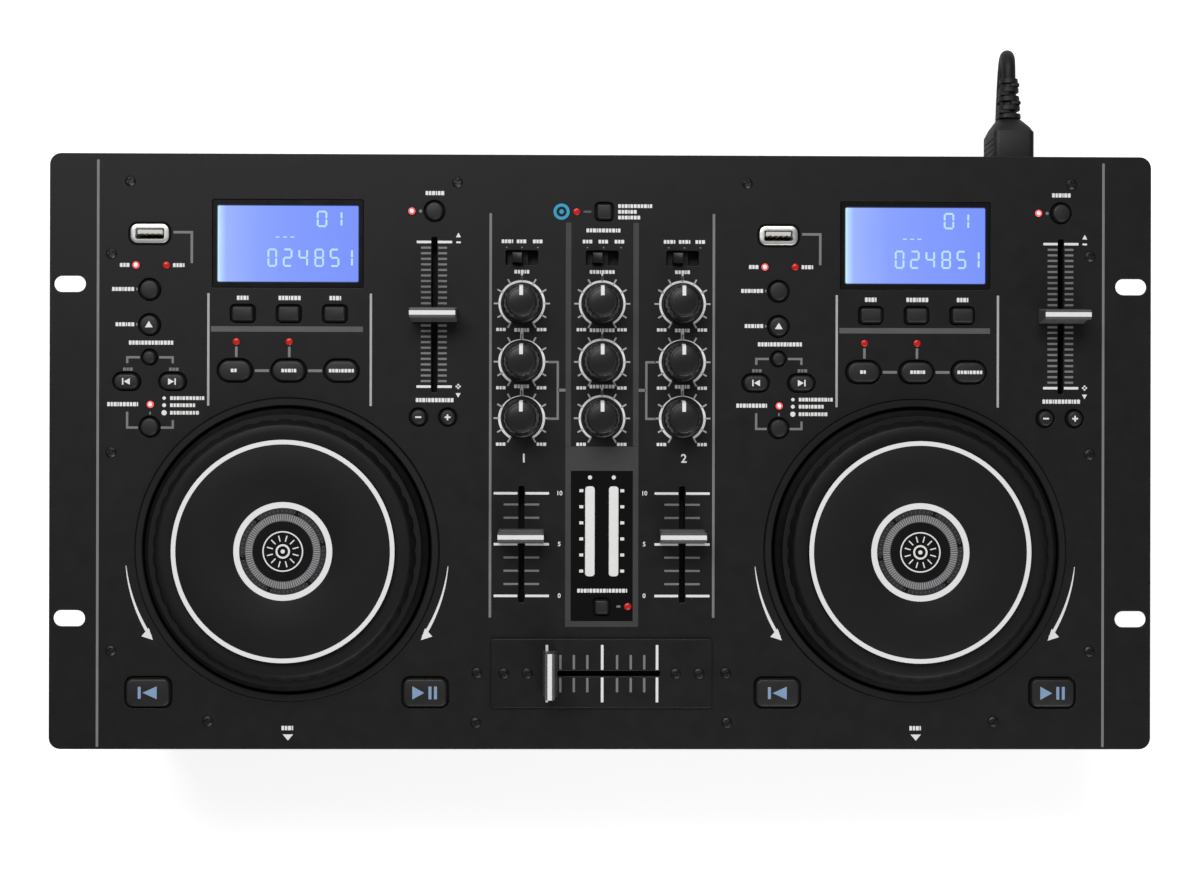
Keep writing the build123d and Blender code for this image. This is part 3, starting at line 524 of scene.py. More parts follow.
drive_steel = metal("drive_steel", (52, 53, 56), (84, 85, 88), (0.35, 0.55))
track_plastic = moulded("track_plastic", (10, 10, 10), (15, 15, 16), 60.0, (0.5, 0.7))
for node, material in (
    ("lower_case", coat_material),
    ("control_boards", board_resin),
    ("disc_drives", drive_steel),
    ("fader_tracks", track_plastic),
):
    dress(node, material)

# ------------------------------------------------------------------ screws
# Small black cross-recess screws with low domed heads hold the panel, the fader plate and the case's sides.
# They were driven by hand, so no two recesses are turned alike.
class Growth(Paint):
    """A Geometry Nodes tree in the making, with named inputs and its result set in one material."""

    def __init__(self, name, **inputs):
        self.tree = bpy.data.node_groups.new(name, "GeometryNodeTree")
        self.tree.interface.new_socket(name="Geometry", in_out="OUTPUT", socket_type="NodeSocketGeometry")
        self.tree.interface.new_socket(name="Geometry", in_out="INPUT", socket_type="NodeSocketGeometry")
        self.tree.interface.new_socket(name="Material", in_out="INPUT", socket_type="NodeSocketMaterial")
        for socket, kind in inputs.items():
            self.tree.interface.new_socket(
                name=socket.replace("_", " "), in_out="INPUT", socket_type="NodeSocket" + kind
            )
        self.given = self.tree.nodes.new("NodeGroupInput")

    def __getitem__(self, name):
        return Value(self, self.given.outputs[name])

    def close(self, instances):
        real = self.add("GeometryNodeRealizeInstances", {}, {0: instances})
        dressed = self.add("GeometryNodeSetMaterial", {}, {"Geometry": real, "Material": self["Material"]})
        out = self.tree.nodes.new("NodeGroupOutput")
        self.tree.links.new(dressed.socket, out.inputs[0])
        return self.tree


def grown(tree, material, points=(), **inputs):
    """The plain mesh that a tree grows on the given points."""
    seedbed = bpy.data.meshes.new("points")
    seedbed.from_pydata([tuple(point) for point in points], [], [])
    holder = bpy.data.objects.new("points", seedbed)
    bpy.context.scene.collection.objects.link(holder)
    modifier = holder.modifiers.new("growth", "NODES")
    modifier.node_group = tree
    named = {item.name: item.identifier for item in tree.interface.items_tree if item.in_out == "INPUT"}
    modifier[named["Material"]] = material
    for name, value in inputs.items():
        modifier[named[name.replace("_", " ")]] = value
    mesh = bpy.data.meshes.new_from_object(holder.evaluated_get(bpy.context.evaluated_depsgraph_get()))
    holder.modifiers.remove(modifier)
    bpy.data.objects.remove(holder)
    return mesh


EDGE_SHARE = 0.45
EDGE_TAPER = 0.94
CROWN_TAPER = 0.62
RECESS_REACH = 1.15
RECESS_LIFT = 0.68
heads = Growth("screw_heads", Head_Radius="Float", Head_Height="Float", Recess_Width="Float", Seed="Int")
radius = heads["Head Radius"]
height = heads["Head Height"]


def cone(low, high, depth):
    """A step of the head, by the radii at its foot and top."""
    sizes = {"Vertices": 20, "Radius Top": high, "Radius Bottom": low, "Depth": depth}
    return heads.add("GeometryNodeMeshCone", {"fill_type": "NGON"}, sizes)


def lifted(geometry, z):
    lift = heads.add("ShaderNodeCombineXYZ", {}, {"Z": z})
    return heads.add("GeometryNodeTransform", {}, {"Geometry": geometry, "Translation": lift})


def boolean(operation, first, second):
    """Two meshes joined, or the second cut out of the first."""
    target = "Mesh 1" if operation == "DIFFERENCE" else "Mesh 2"
    settings = {"operation": operation, "solver": "EXACT"}
    result = heads.add("GeometryNodeMeshBoolean", settings, {target: first})
    heads.tree.links.new(second.socket, result.socket.node.inputs["Mesh 2"])
    return result


edge = cone(radius, radius * EDGE_TAPER, height * EDGE_SHARE)
crown = cone(radius * EDGE_TAPER, radius * CROWN_TAPER, height * (1 - EDGE_SHARE))
head = boolean("UNION", edge, lifted(crown, height * EDGE_SHARE))
arm_sizes = (radius * RECESS_REACH, heads["Recess Width"])
for long_side, short_side in (arm_sizes, arm_sizes[::-1]):
    size = heads.add("ShaderNodeCombineXYZ", {}, {"X": long_side, "Y": short_side, "Z": height})
    arm = heads.add("GeometryNodeMeshCube", {}, {"Size": size})
    head = boolean("DIFFERENCE", head, lifted(arm, height * RECESS_LIFT))
half_turn = {3: math.pi, "Seed": heads["Seed"]}
spin = heads.add("FunctionNodeRandomValue", {"data_type": "FLOAT"}, half_turn, 1)
turned = heads.add("ShaderNodeCombineXYZ", {}, {"Z": spin})
placed_heads = {"Points": heads["Geometry"], "Instance": head, "Rotation": turned}
screw_tree = heads.close(heads.add("GeometryNodeInstanceOnPoints", {}, placed_heads))

PANEL_Z = 93.0
PLATE_Z = 94.2
panel_spots = [(63.5, 118.0), (206.2, 118.0), (214.4, 86.3), (214.4, -0.6), (214.4, -87.2)]
panel_spots += [(172.1, -118.0), (55.0, -118.6), (54.5, -96.8)]
plate_spots = [(42.7, -96.9), (32.5, -96.9)]
spots = [(side * x, y, PANEL_Z) for x, y in panel_spots for side in (-1, 1)]
spots += [(side * x, y, PLATE_Z) for x, y in plate_spots for side in (-1, 1)]
screw_black = metal("black_oxide_screw", (58, 58, 60), (84, 84, 86), (0.34, 0.5))
panel_heads = Skin()
panel_sizes = {"Head_Radius": 2.4, "Head_Height": 1.0, "Recess_Width": 0.75, "Seed": 4}
panel_heads.lay(grown(screw_tree, screw_black, spots, **panel_sizes), screw_black)
panel_heads.done("panel_screw_heads", "console", "black_screws", "panel_screws")

CASE_SIDE = 219.0
wall_sizes = {"Head_Radius": 2.6, "Head_Height": 1.5, "Recess_Width": 0.7, "Seed": 9}
for side, name in ((-1, "left"), (1, "right")):
    wall_x = side * (CASE_SIDE - 0.1)
    wall_place = Matrix(((0, 0, side, wall_x), (side, 0, 0, 0), (0, 1, 0, 0), (0, 0, 0, 1)))
    wall_heads = Skin(wall_place)
    wall_spots = [(side * y, 82.0, 0.0) for y in (-100.0, -3.0, 94.0)]
    wall_heads.lay(grown(screw_tree, screw_black, wall_spots, **wall_sizes), screw_black)
    wall_heads.done(f"case_screws_{name}", "console", "black_screws")

# ------------------------------------------------------------------ sockets, inlet and power rocker
# Eight plated phono sockets and the frame of the mains inlet stand in the rear wall, and two jack sockets
# with hex nuts in the front wall. The power rocker tilts in its frame beside the inlet.
nickel = metal("socket_nickel", (176, 174, 168), (206, 204, 198), (0.18, 0.32))
bore_dark = moulded("socket_dark", (8, 8, 8), (14, 14, 14), 90.0, (0.5, 0.6))
ring_red = moulded("ring_red", (150, 22, 20), (176, 34, 30), 90.0, (0.35, 0.45))
ring_white = moulded("ring_white", (196, 196, 192), (216, 216, 212), 90.0, (0.35, 0.45))
hard_black = moulded("hard_black_plastic", (13, 13, 14), (20, 20, 21), 60.0, (0.3, 0.42))
PHONO_COLUMNS = (-175.0, -150.0, -20.0, 20.0)
REAR_Y = 122.0
FRONT_Y = 125.0
rear_place = Matrix(((-1, 0, 0, 0), (0, 0, 1, REAR_Y), (0, 1, 0, 0), (0, 0, 0, 1)))
front_place = Matrix(((1, 0, 0, 0), (0, 0, -1, -FRONT_Y), (0, 1, 0, 0), (0, 0, 0, 1)))
sockets = Skin(rear_place)
for x in PHONO_COLUMNS:
    for z, ring_paint in ((39.0, ring_red), (53.0, ring_white)):
        spot = (-x, z)
        sockets.rise(circle(5.3, *spot), [(0, 0.02), (0, 0.7), (0.3, 1.0)], nickel)
        shell = [(4.1, 1.0), (4.1, 7.9), (3.9, 8.2), (3.3, 8.2), (3.3, 1.4), (3.3, 1.0)]
        sockets.revolve(*spot, shell, nickel, True)
        insulator = [(3.3, 1.4), (3.3, 7.6), (3.0, 7.9), (1.9, 7.9), (1.9, 1.4)]
        sockets.revolve(*spot, insulator, ring_paint, True)
        sockets.rise(circle(1.9, *spot, 24), [(0, 1.1), (0, 2.2)], bore_dark)
        sockets.rise(circle(4.1, *spot), [(0, -6.0), (0, -1.4), (0, 0.0)], hard_black)
sockets.place = front_place
for x in (-22.0, 22.0):
    hexagon = circle(7.4, x, 60.0, 6)
    sockets.rise(hexagon, [(0.3, 0.02), (0, 0.3), (0, 1.9), (0.35, 2.2)], nickel)
    neck = [(4.75, 2.2), (4.75, 2.7), (4.5, 3.0), (3.5, 3.0), (3.3, 2.8), (3.3, -24.0), (4.75, -24.0)]
    sockets.revolve(x, 60.0, neck, nickel, True)
    body = oblong(12.0, 12.0, 0.8, x, 60.0)
    sockets.rise(body, [(0, -26.0), (0, -1.5)], hard_black)
sockets.done("audio_connectors", "console", "plated_steel", "audio_sockets")

ROCKER_X = 150.0
openings = Skin(rear_place)
flange = oblong(24.0, 31.0, 2.0, -INLET_X, INLET_Z)
mouth = oblong(16.6, 24.6, 3.0, -INLET_X, INLET_Z)
well = oblong(20.4, 28.2, 2.0, -INLET_X, INLET_Z)
openings.stack([
    (flange, 0.0, 0.02), (flange, 0.0, 1.6), (flange, 0.4, 2.0), (mouth, 0.0, 2.0),
    (mouth, 0.3, 1.4), (mouth, 0.3, -16.0), (well, 0.0, -20.0),
], hard_black, True)
cutout = oblong(16.8, 22.8, 1.2, -ROCKER_X, INLET_Z)
rim = oblong(18.0, 24.0, 1.4, -ROCKER_X, INLET_Z)
throat = oblong(13.8, 19.8, 0.6, -ROCKER_X, INLET_Z)
back = oblong(15.0, 21.0, 0.6, -ROCKER_X, INLET_Z)
openings.stack([
    (cutout, 0.0, 0.02), (rim, 0.0, 0.02), (rim, 0.0, 1.1), (rim, 0.5, 1.6),
    (throat, 0.0, 1.6), (throat, 0.0, -10.0), (back, 0.0, -12.0), (back, 0.0, 0.02),
], hard_black, True)
openings.done("inlet_and_switch_frame", "console", "inlet_plastic", "mains_inlet")
dress("power_rocker", hard_black)

# ------------------------------------------------------------------ top panel
# One 2 mm sheet-metal plate, punched for every control and coated a fine-grained charcoal. Its edges are
# broken a little, and four long holes take the rack's bolts.
def sheet_piece(outline, holes, low, high, edge):
    """A flat sheet with holes and softly broken edges, as a mesh in its place."""
    curve = bpy.data.curves.new("sheet", "CURVE")
    curve.dimensions = "2D"
    curve.fill_mode = "BOTH"
    curve.extrude = (high - low) / 2 - edge
    curve.bevel_depth = edge
    curve.bevel_resolution = 1
    curve.offset = -edge
    for points in [outline] + holes:
        spline = curve.splines.new("POLY")
        spline.points.add(len(points) - 1)
        for point, (x, y) in zip(spline.points, points):
            point.co = (x, y, 0, 1)
        spline.use_cyclic_u = True
    holder = bpy.data.objects.new("sheet", curve)
    bpy.context.scene.collection.objects.link(holder)
    mesh = bpy.data.meshes.new_from_object(holder.evaluated_get(bpy.context.evaluated_depsgraph_get()))
    bpy.data.objects.remove(holder)
    mesh.transform(Matrix.Translation((0, 0, (low + high) / 2)))
    return mesh


DECKS = (("left", -137.5), ("right", 137.5))
JOG_Y = -43.0
KEY_GAP = 0.6
KEY_CORNERS = {"wide": 3.2, "box": 1.5}
deck_keys = {
    "cue_key": [("wide", -60.4, -105.3, 19.6, 12.8, "back")],
    "play_key": [("wide", 60.4, -105.3, 19.6, 12.8, "play")],
    "select_eject_keys": [("round", -60.2, 70.6, 8.8, 8.8, ""), ("round", -60.2, 55.2, 8.8, 8.8, "up")],
    "track_keys": [
        ("round", -60.2, 41.0, 6.2, 6.2, ""),
        ("oval", -70.1, 30.4, 11.4, 7.2, "skip_back"),
        ("oval", -50.1, 30.4, 11.4, 7.2, "skip_on"),
    ],
    "jog_mode_key": [("round", -60.0, 10.6, 8.4, 8.4, "")],
    "display_keys": [("box", x, 60.2, 10.0, 7.0, "") for x in (-19.6, 0.5, 20.6)],
    "loop_keys": [
        ("oval", -22.9, 35.3, 14.8, 9.4, "words 3.2"),
        ("oval", 0.5, 35.3, 14.8, 9.4, "words 6"),
        ("oval", 23.5, 35.3, 14.8, 9.4, "words 10.6"),
    ],
    "pitch_key": [("round", 64.0, 105.3, 8.4, 8.4, "")],
    "bend_keys": [("round", 57.2, 15.1, 7.2, 7.2, "minus"), ("round", 70.0, 15.1, 7.2, 7.2, "plus")],
}
mixer_keys = {
    "pairing_key": [("box", 0.8, 105.3, 7.2, 7.2, "")],
    "fader_start_key": [("box", 0.0, -67.8, 6.8, 6.8, "")],
}


def key_outline(shape, x, y, w, l):
    return oblong(w, l, KEY_CORNERS.get(shape, l / 2), x, y, 8)


KNOB_COLUMN = 35.2
KNOB_ROWS = (65.0, 39.5, 14.8)
SWITCH_Y = 85.0
METER_X = 5.2
METER_Y = -34.7
LINE_X = 35.2
LINE_Y = -40.4
PITCH_X = 64.0
PITCH_Y = 60.0
CROSS_Y = -96.9
DISPLAY_Y = 90.9
USB_X = -60.2
USB_Y = 95.1
RACK_X = 232.55
RACK_Y = 73.025
PANEL_SIZE = (482.6, 260.35)
PANEL_LOW = 91.0
holes = [oblong(14.0, 7.1, 3.55, x, y)(0) for x in (-RACK_X, RACK_X) for y in (-RACK_Y, RACK_Y)]
for _, x0 in DECKS:
    holes.append(circle(66.5, x0, JOG_Y, 160)(0))
    holes.append(oblong(65.9, 38.7, 0.8, x0, DISPLAY_Y)(0))
    holes.append(oblong(15.8, 7.4, 2.6, x0 + USB_X, USB_Y)(0))
    holes.append(oblong(2.4, 68.0, 0.5, x0 + PITCH_X, PITCH_Y, 2)(0))
    for keys in deck_keys.values():
        for shape, x, y, w, l, _ in keys:
            holes.append(key_outline(shape, x0 + x, y, w, l)(-KEY_GAP))
for keys in mixer_keys.values():
    for shape, x, y, w, l, _ in keys:
        holes.append(key_outline(shape, x, y, w, l)(-KEY_GAP))
for x in (-KNOB_COLUMN, 0.0, KNOB_COLUMN):
    holes.append(oblong(14.0, 6.6, 0.6, x, SWITCH_Y, 2)(0))
    holes += [circle(3.6, x, y, 24)(0) for y in KNOB_ROWS]
for side in (-1, 1):
    holes.append(oblong(2.4, 51.0, 0.5, side * LINE_X, LINE_Y, 2)(0))
    holes.append(oblong(4.4, 39.6, 1.4, side * METER_X, METER_Y)(0))
holes.append(oblong(72.8, 22.2, 1.0, 0, CROSS_Y)(0))

panel_coat = Paint("panel_satin_coat", Specular_IOR_Level=0.3)
cloud = panel_coat.noise(9.0)
speck = panel_coat.noise(1500.0, 2.0)
panel_material = panel_coat.feed(
    Base_Color=panel_coat.mix(cloud * 0.7 + speck * 0.3, rgb(19, 19, 20), rgb(28, 28, 29)),
    Roughness=0.36 + panel_coat.noise(120.0) * 0.2,
    Normal=panel_coat.bump(speck, 0.00004, 0.8),
)
panel = Skin()
panel.lay(sheet_piece(oblong(*PANEL_SIZE, 5.0)(0), holes, PANEL_LOW, PANEL_Z, 0.25), panel_material)
panel.done("punched_panel", "console", "painted_panel", "top_panel")

plate = Skin()
plate_edge = oblong(96.8, 30.2, 1.2, 0, CROSS_Y)(0)
plate_slot = [oblong(51.0, 2.4, 0.5, 0, CROSS_Y, 2)(0)]
plate.lay(sheet_piece(plate_edge, plate_slot, PANEL_Z, PLATE_Z, 0.3), panel_material)
plate.done("fader_plate", "console", "painted_panel", "crossfader_plate")

# ------------------------------------------------------------------ printing on the panel
# Lines, scales and marks are screen-printed on the coat in white, greys, blue and black. Legends are rows
# of plain upright bars. Scale numbers and usual signs are drawn.
INK_SUNK = 0.02
INK_PROUD = 0.035
INK_LOW = PANEL_Z - INK_SUNK
INK_HIGH = PANEL_Z + INK_PROUD


def ink(name, low, high, cloud=160.0, gloss=(0.45, 0.6), **plain):
    """A thin matt coat of printing ink."""
    return moulded(name, low, high, cloud, gloss, 1200.0, 0.00001, **plain)


ink_white = ink("ink_white", (244, 244, 242), (252, 252, 250))
ink_light = ink("ink_light_grey", (176, 176, 175), (190, 190, 189))
ink_pale = ink("ink_pale_grey", (122, 122, 122), (136, 136, 136))
ink_grey = ink("ink_grey", (84, 84, 84), (96, 96, 96))
ink_dark = ink("ink_dark_grey", (58, 58, 58), (66, 66, 66), 120.0, (0.4, 0.55))
ink_blue = ink("ink_light_blue", (130, 160, 196), (150, 180, 212), gloss=(0.4, 0.5))
ink_sky = ink("ink_sky", (38, 160, 204), (52, 174, 216), gloss=(0.4, 0.5))
# Black print, and painted shade in the ring round each USB shell.
black_print_and_painted_shade = ink("black_print_and_painted_shade", (5, 5, 5), (8, 8, 8), gloss=(0.6, 0.75), Specular_IOR_Level=0.12)


def fill(skin, points, paint, z):
    """A flat printed shape."""
    skin.rise(lambda inset: points, [(0, z - INK_SUNK), (0, z + INK_PROUD)], paint)


def bar(skin, x, y, w, l, paint=ink_white, z=PANEL_Z, corner=0.15):
    fill(skin, oblong(w, l, min(corner, w / 2.1, l / 2.1), x, y, 2)(0), paint, z)


def dot(skin, x, y, radius, paint=ink_white, z=PANEL_Z):
    fill(skin, circle(radius, x, y, 20)(0), paint, z)


def stroke(skin, points, widths, paint=ink_pale, low=INK_LOW, high=INK_HIGH, closed=False):
    """A line along points, as wide as asked at each, with mitred corners."""
    count = len(points)
    if isinstance(widths, float):
        widths = [widths] * count
    places = [Vector(point) for point in points]
    rings = []
    for i, width in enumerate(widths):
        into = (places[i] - places[i - 1]).normalized() if i or closed else None
        out = (places[(i + 1) % count] - places[i]).normalized() if i + 1 < count or closed else None
        way = ((into or out) + (out or into)).normalized()
        half = Vector((-way.y, way.x)) * width / 2 / max(way.dot(into or out), 0.5)
        left = places[i] + half
        right = places[i] - half
        rings.append([(*right, low), (*right, high), (*left, high), (*left, low)])
    skin.loft(rings, paint, closed)


def arc(x, y, radius, first, last, steps):
    """Points along an arc, by its angles in degrees."""
    turns = [math.radians(first + (last - first) * i / steps) for i in range(steps + 1)]
    return [(x + radius * math.cos(a), y + radius * math.sin(a)) for a in turns]


BAR_WIDTHS = (1.2, 1.0, 1.35, 0.6, 1.15, 1.3)


def words(skin, x, y, length, height=1.7, paint=ink_white, z=PANEL_Z):
    """A legend: a row of plain upright bars."""
    left = x - length / 2
    i = 0
    while left < x + length / 2 - 0.5:
        width = BAR_WIDTHS[i % len(BAR_WIDTHS)]
        bar(skin, left + width / 2, y, width, height, paint, z)
        left += width + 0.3
        i += 1


def figure(skin, text, x, y, height, paint=ink_white, z=PANEL_Z):
    """A scale number."""
    curve = bpy.data.curves.new("figure", "FONT")
    curve.body = text
    curve.align_x = "CENTER"
    curve.align_y = "CENTER"
    curve.size = height / 0.7
    curve.offset = 0.03 * height
    curve.extrude = INK_PROUD
    curve.resolution_u = 3
    holder = bpy.data.objects.new("figure", curve)
    skin.lay(bpy.data.meshes.new_from_object(holder), paint, Matrix.Translation((x, y, z)))
    bpy.data.objects.remove(holder)


def pointer(skin, x, y, w, h, paint=ink_white, z=PANEL_Z, way=0.0):
    """A filled triangle that points up, or turned from there."""
    corners = [(-w / 2, -h / 2), (w / 2, -h / 2), (0, h / 2)]
    c, s = math.cos(math.radians(way)), math.sin(math.radians(way))
    fill(skin, [(x + c * px - s * py, y + s * px + c * py) for px, py in corners], paint, z)


rows = Growth(
    "repeated_bars", Count="Int", Start="Vector", Step="Vector", First_Turn="Float", Turn="Float",
    Reach="Float", Size="Vector",
)
row_line = rows.add(
    "GeometryNodeMeshLine", {"mode": "OFFSET"},
    {"Count": rows["Count"], "Start Location": rows["Start"], "Offset": rows["Step"]},
)
row_turn = rows["First Turn"] + rows.add("GeometryNodeInputIndex", {}, {}) * rows["Turn"]
row_bar = rows.add("GeometryNodeMeshCube", {}, {"Size": rows["Size"]})
row_reach = rows.add("ShaderNodeCombineXYZ", {}, {"X": rows["Reach"]})
row_bar = rows.add("GeometryNodeTransform", {}, {"Geometry": row_bar, "Translation": row_reach})
row_angles = rows.add("ShaderNodeCombineXYZ", {}, {"Z": row_turn})
row_tree = rows.close(rows.add(
    "GeometryNodeInstanceOnPoints", {}, {"Points": row_line, "Instance": row_bar, "Rotation": row_angles}
))
INK_T = INK_SUNK + INK_PROUD


def ticks(skin, x, y, count, step, w, l, paint, z=PANEL_Z):
    """A straight row of printed bars, from its first one's place on."""
    mesh = grown(
        row_tree, paint, Count=count, Start=(x, y, z - INK_SUNK + INK_T / 2), Step=(step[0], step[1], 0.0),
        First_Turn=0.0, Turn=0.0, Reach=0.0, Size=(w, l, INK_T),
    )
    skin.lay(mesh, paint)


def rays(skin, x, y, count, first, turn, inner, outer, width, paint, z=PANEL_Z, thick=INK_T):
    """Printed bars that stand round a centre, by angles in degrees."""
    mesh = grown(
        row_tree, paint, Count=count, Start=(x, y, z - INK_SUNK + thick / 2), Step=(0.0, 0.0, 0.0),
        First_Turn=math.radians(first), Turn=math.radians(turn), Reach=(inner + outer) / 2,
        Size=(outer - inner, width, thick),
    )
    skin.lay(mesh, paint)


print_skin = Skin()
for x in (-220.2, 220.2):
    bar(print_skin, x, -0.9, 1.1, 256.4, ink_pale)
for _, x0 in DECKS:
    stroke(print_skin, [(x0 - 49.9, 95.7), (x0 - 41.9, 95.7), (x0 - 41.9, 82.2)], 1.1)
    for x, y, length in ((-71.4, 81.3, 3.6), (-47.2, 81.3, 5.8), (-71.8, 70.8, 9.6), (-71.0, 55.4, 8.0)):
        words(print_skin, x0 + x, y, length)
    for y in (70.8, 55.4):
        bar(print_skin, x0 - 65.8, y, 0.6, 1.2, ink_pale)
    words(print_skin, x0 - 59.4, 47.4, 19.6, 1.8)
    for side in (-1, 1):
        corner = x0 - 60.0 + side * 9.9
        stroke(print_skin, [(x0 - 60.2 + side * 4.2, 41.0), (corner, 41.0), (corner, 38.4)], 1.0)
        words(print_skin, x0 - 60.0 + side * 10.0, 35.8, 3.4, 1.4, ink_pale)
    words(print_skin, x0 - 71.7, 20.5, 13.8, 1.8)
    stroke(print_skin, [(x0 - 69.9, 17.2), (x0 - 69.9, 10.3), (x0 - 65.2, 10.3)], 1.0)
    stroke(print_skin, [(x0 - 55.2, 10.3), (x0 - 50.0, 10.3), (x0 - 50.0, 13.6)], 1.0)
    bar(print_skin, x0 - 59.9, 16.6, 0.7, 1.3, ink_pale)
    for y, radius, length in ((23.2, 0.75, 15.0), (20.1, 0.85, 10.6), (16.8, 1.15, 12.2)):
        dot(print_skin, x0 - 53.8, y, radius)
        words(print_skin, x0 - 51.2 + length / 2, y, length, 1.6)
    for x in (-34.6, 36.3):
        bar(print_skin, x0 + x, 44.5, 1.0, 49.2, ink_light)
    bar(print_skin, x0 - 0.3, 53.5, 66.3, 2.4, ink_grey)
    for x, length in ((-19.4, 5.6), (0.6, 9.2), (21.0, 5.6)):
        words(print_skin, x0 + x, 67.1, length, 1.9)
    for x in (-22.4, 0.7):
        bar(print_skin, x0 + x, 43.5, 1.1, 4.6, ink_pale)
    for x in (-11.2, 12.0):
        bar(print_skin, x0 + x, 35.3, 6.2, 1.2, ink_pale)
    words(print_skin, x0 + 64.0, 113.2, 7.8, 1.8)
    dot(print_skin, x0 + 57.9, 105.3, 0.7, ink_pale)
    for y in (91.8, 28.5):
        for x in (59.4, 68.6):
            bar(print_skin, x0 + x, y, 6.3, 1.1)
    for x, length in ((60.3, 4.3), (67.6, 3.8)):
        ticks(print_skin, x0 + x, 89.3, 25, (0.0, -2.432), length, 0.9, ink_pale)
    pointer(print_skin, x0 + 74.5, 94.9, 2.2, 2.0)
    bar(print_skin, x0 + 74.5, 91.7, 2.0, 0.8)
    bar(print_skin, x0 + 74.5, 28.6, 2.2, 0.8)
    bar(print_skin, x0 + 74.5, 28.6, 0.8, 2.2)
    pointer(print_skin, x0 + 74.5, 24.7, 2.2, 2.0, way=180.0)
    words(print_skin, x0 + 63.9, 22.6, 15.8, 1.8)
    for side in (-1, 1):
        tail = arc(x0, JOG_Y, 70.6, 270 + side * 84.3, 270 + side * 57.5, 24)
        stroke(print_skin, tail, [0.25 + 1.25 * (i / 24) ** 0.8 for i in range(25)], ink_white)
        head = [(70.5, 56.0), (73.9, 59.2), (69.3, 60.4)]
        corners = []
        for r, turn in head[::side]:
            a = math.radians(270 + side * turn)
            corners.append((x0 + r * math.cos(a), JOG_Y + r * math.sin(a)))
        fill(print_skin, corners, ink_white, PANEL_Z + 0.02)
    words(print_skin, x0 + 0.6, -120.9, 5.8, 1.9)
    pointer(print_skin, x0 + 0.5, -125.0, 4.6, 2.7, way=180.0)

for side in (-1, 1):
    bar(print_skin, side * 48.9, 16.0, 1.1, 177.0, ink_pale)
    bar(print_skin, side * 14.8, 51.5, 2.4, 98.0, ink_dark)
    bar(print_skin, side * 14.8, -41.1, 2.4, 65.8, ink_dark)
    bracket = [(23.8, 39.4), (19.4, 39.4), (19.4, 14.6), (23.8, 14.6)]
    stroke(print_skin, [(side * x, y) for x, y in bracket], 1.0)
    bar(print_skin, side * 17.6, 27.1, 3.4, 1.3, ink_pale)
    x = side * METER_X * 1.86
    ticks(print_skin, x - side * 0.7, -16.9, 6, (0.0, -7.04), 1.7, 1.3, ink_white)
    dot(print_skin, side * 5.2, -11.1, 0.9)
    for y, text in ((-18.1, "10"), (-40.4, "5"), (-63.0, "0")):
        for shift in (-6.9, 6.9):
            bar(print_skin, side * LINE_X + shift, y, 10.4, 1.1)
        figure(print_skin, text, side * 18.6, y, 1.9)
    for y in (-23.0, -28.8, -34.6, -46.2, -52.0, -57.8):
        for shift in (-4.6, 4.6):
            bar(print_skin, side * LINE_X + shift, y, 6.4, 0.9, ink_pale)
meter_holes = [oblong(4.4, 39.6, 1.4, side * METER_X, METER_Y)(0) for side in (-1, 1)]
meter_holes += [oblong(6.8, 6.8, 1.5, 0, -67.8)(-KEY_GAP), circle(1.5, 11.4, -67.6, 32)(0)]
meter_field = oblong(27.2, 65.8, 0.3, 0, -41.1)(0)
print_skin.lay(sheet_piece(meter_field, meter_holes, INK_LOW, PANEL_Z + 0.015, 0.005), black_print_and_painted_shade)
bar(print_skin, 0.0, -2.9, 32.0, 10.6, ink_dark)
bar(print_skin, 0.0, -75.3, 32.0, 2.5, ink_dark)
words(print_skin, 0.6, -60.7, 22.6, 1.7)
bar(print_skin, 7.4, -67.6, 1.8, 0.9, ink_pale)
figure(print_skin, "1", -34.2, -2.9, 3.7)
figure(print_skin, "2", 35.9, -2.9, 3.7)
bar(print_skin, -6.6, 105.3, 3.4, 0.9, ink_grey)
stroke(print_skin, arc(-17.9, 105.3, 2.9, 0, 360, 32)[:-1], 1.3, ink_sky, closed=True)
dot(print_skin, -17.9, 105.3, 1.0, ink_sky)
for y, x, length in ((107.8, 14.6, 15.4), (105.3, 10.6, 7.4), (102.8, 12.0, 10.2)):
    words(print_skin, x, y, length, 1.6)
words(print_skin, 0.8, 97.1, 15.6, 1.7)
for column, labels in (
    (-35.2, ((-6.4, 5.0), (0.0, 4.6), (6.6, 3.6))),
    (0.0, ((-6.2, 4.8), (0.6, 4.6), (7.8, 4.8))),
    (35.2, ((-5.8, 5.0), (0.8, 5.0), (7.4, 3.6))),
):
    for x, length in labels:
        words(print_skin, column + x, 92.2, length, 1.6)
        dot(print_skin, column + (x if abs(x) < 1 else x * 1.05), 89.6, 0.35, ink_pale)

DIAL_R = 9.75
TICK_TO = 12.3
knob_columns = (("left", -KNOB_COLUMN), ("middle", 0.0), ("right", KNOB_COLUMN))
for column, x in knob_columns:
    for row, y in zip(("upper", "centre", "lower"), KNOB_ROWS):
        cut = column != "middle" and row != "upper"
        ring = arc(x, y, DIAL_R, 240, -60, 60)
        if cut:
            widths = [1.1 if abs(i - 30) > 15 else 0.35 + 0.75 * (abs(i - 30) / 15) ** 2 for i in range(61)]
        else:
            widths = 1.0
        stroke(print_skin, ring, widths, ink_white)
        rays(print_skin, x, y, 11, 240, -30, DIAL_R - 0.2, TICK_TO, 0.7, ink_light)
        rays(print_skin, x, y, 1, 90, 0, DIAL_R - 0.2, 13.4, 1.3 if cut else 0.8, ink_white)
        for side in (-1, 1):
            words(print_skin, x + side * 8.9, y - 11.4, 4.6, 1.4, ink_white)
        words(print_skin, x, y + 13.9, 6.6 if column != "middle" else 11.0, 1.6)

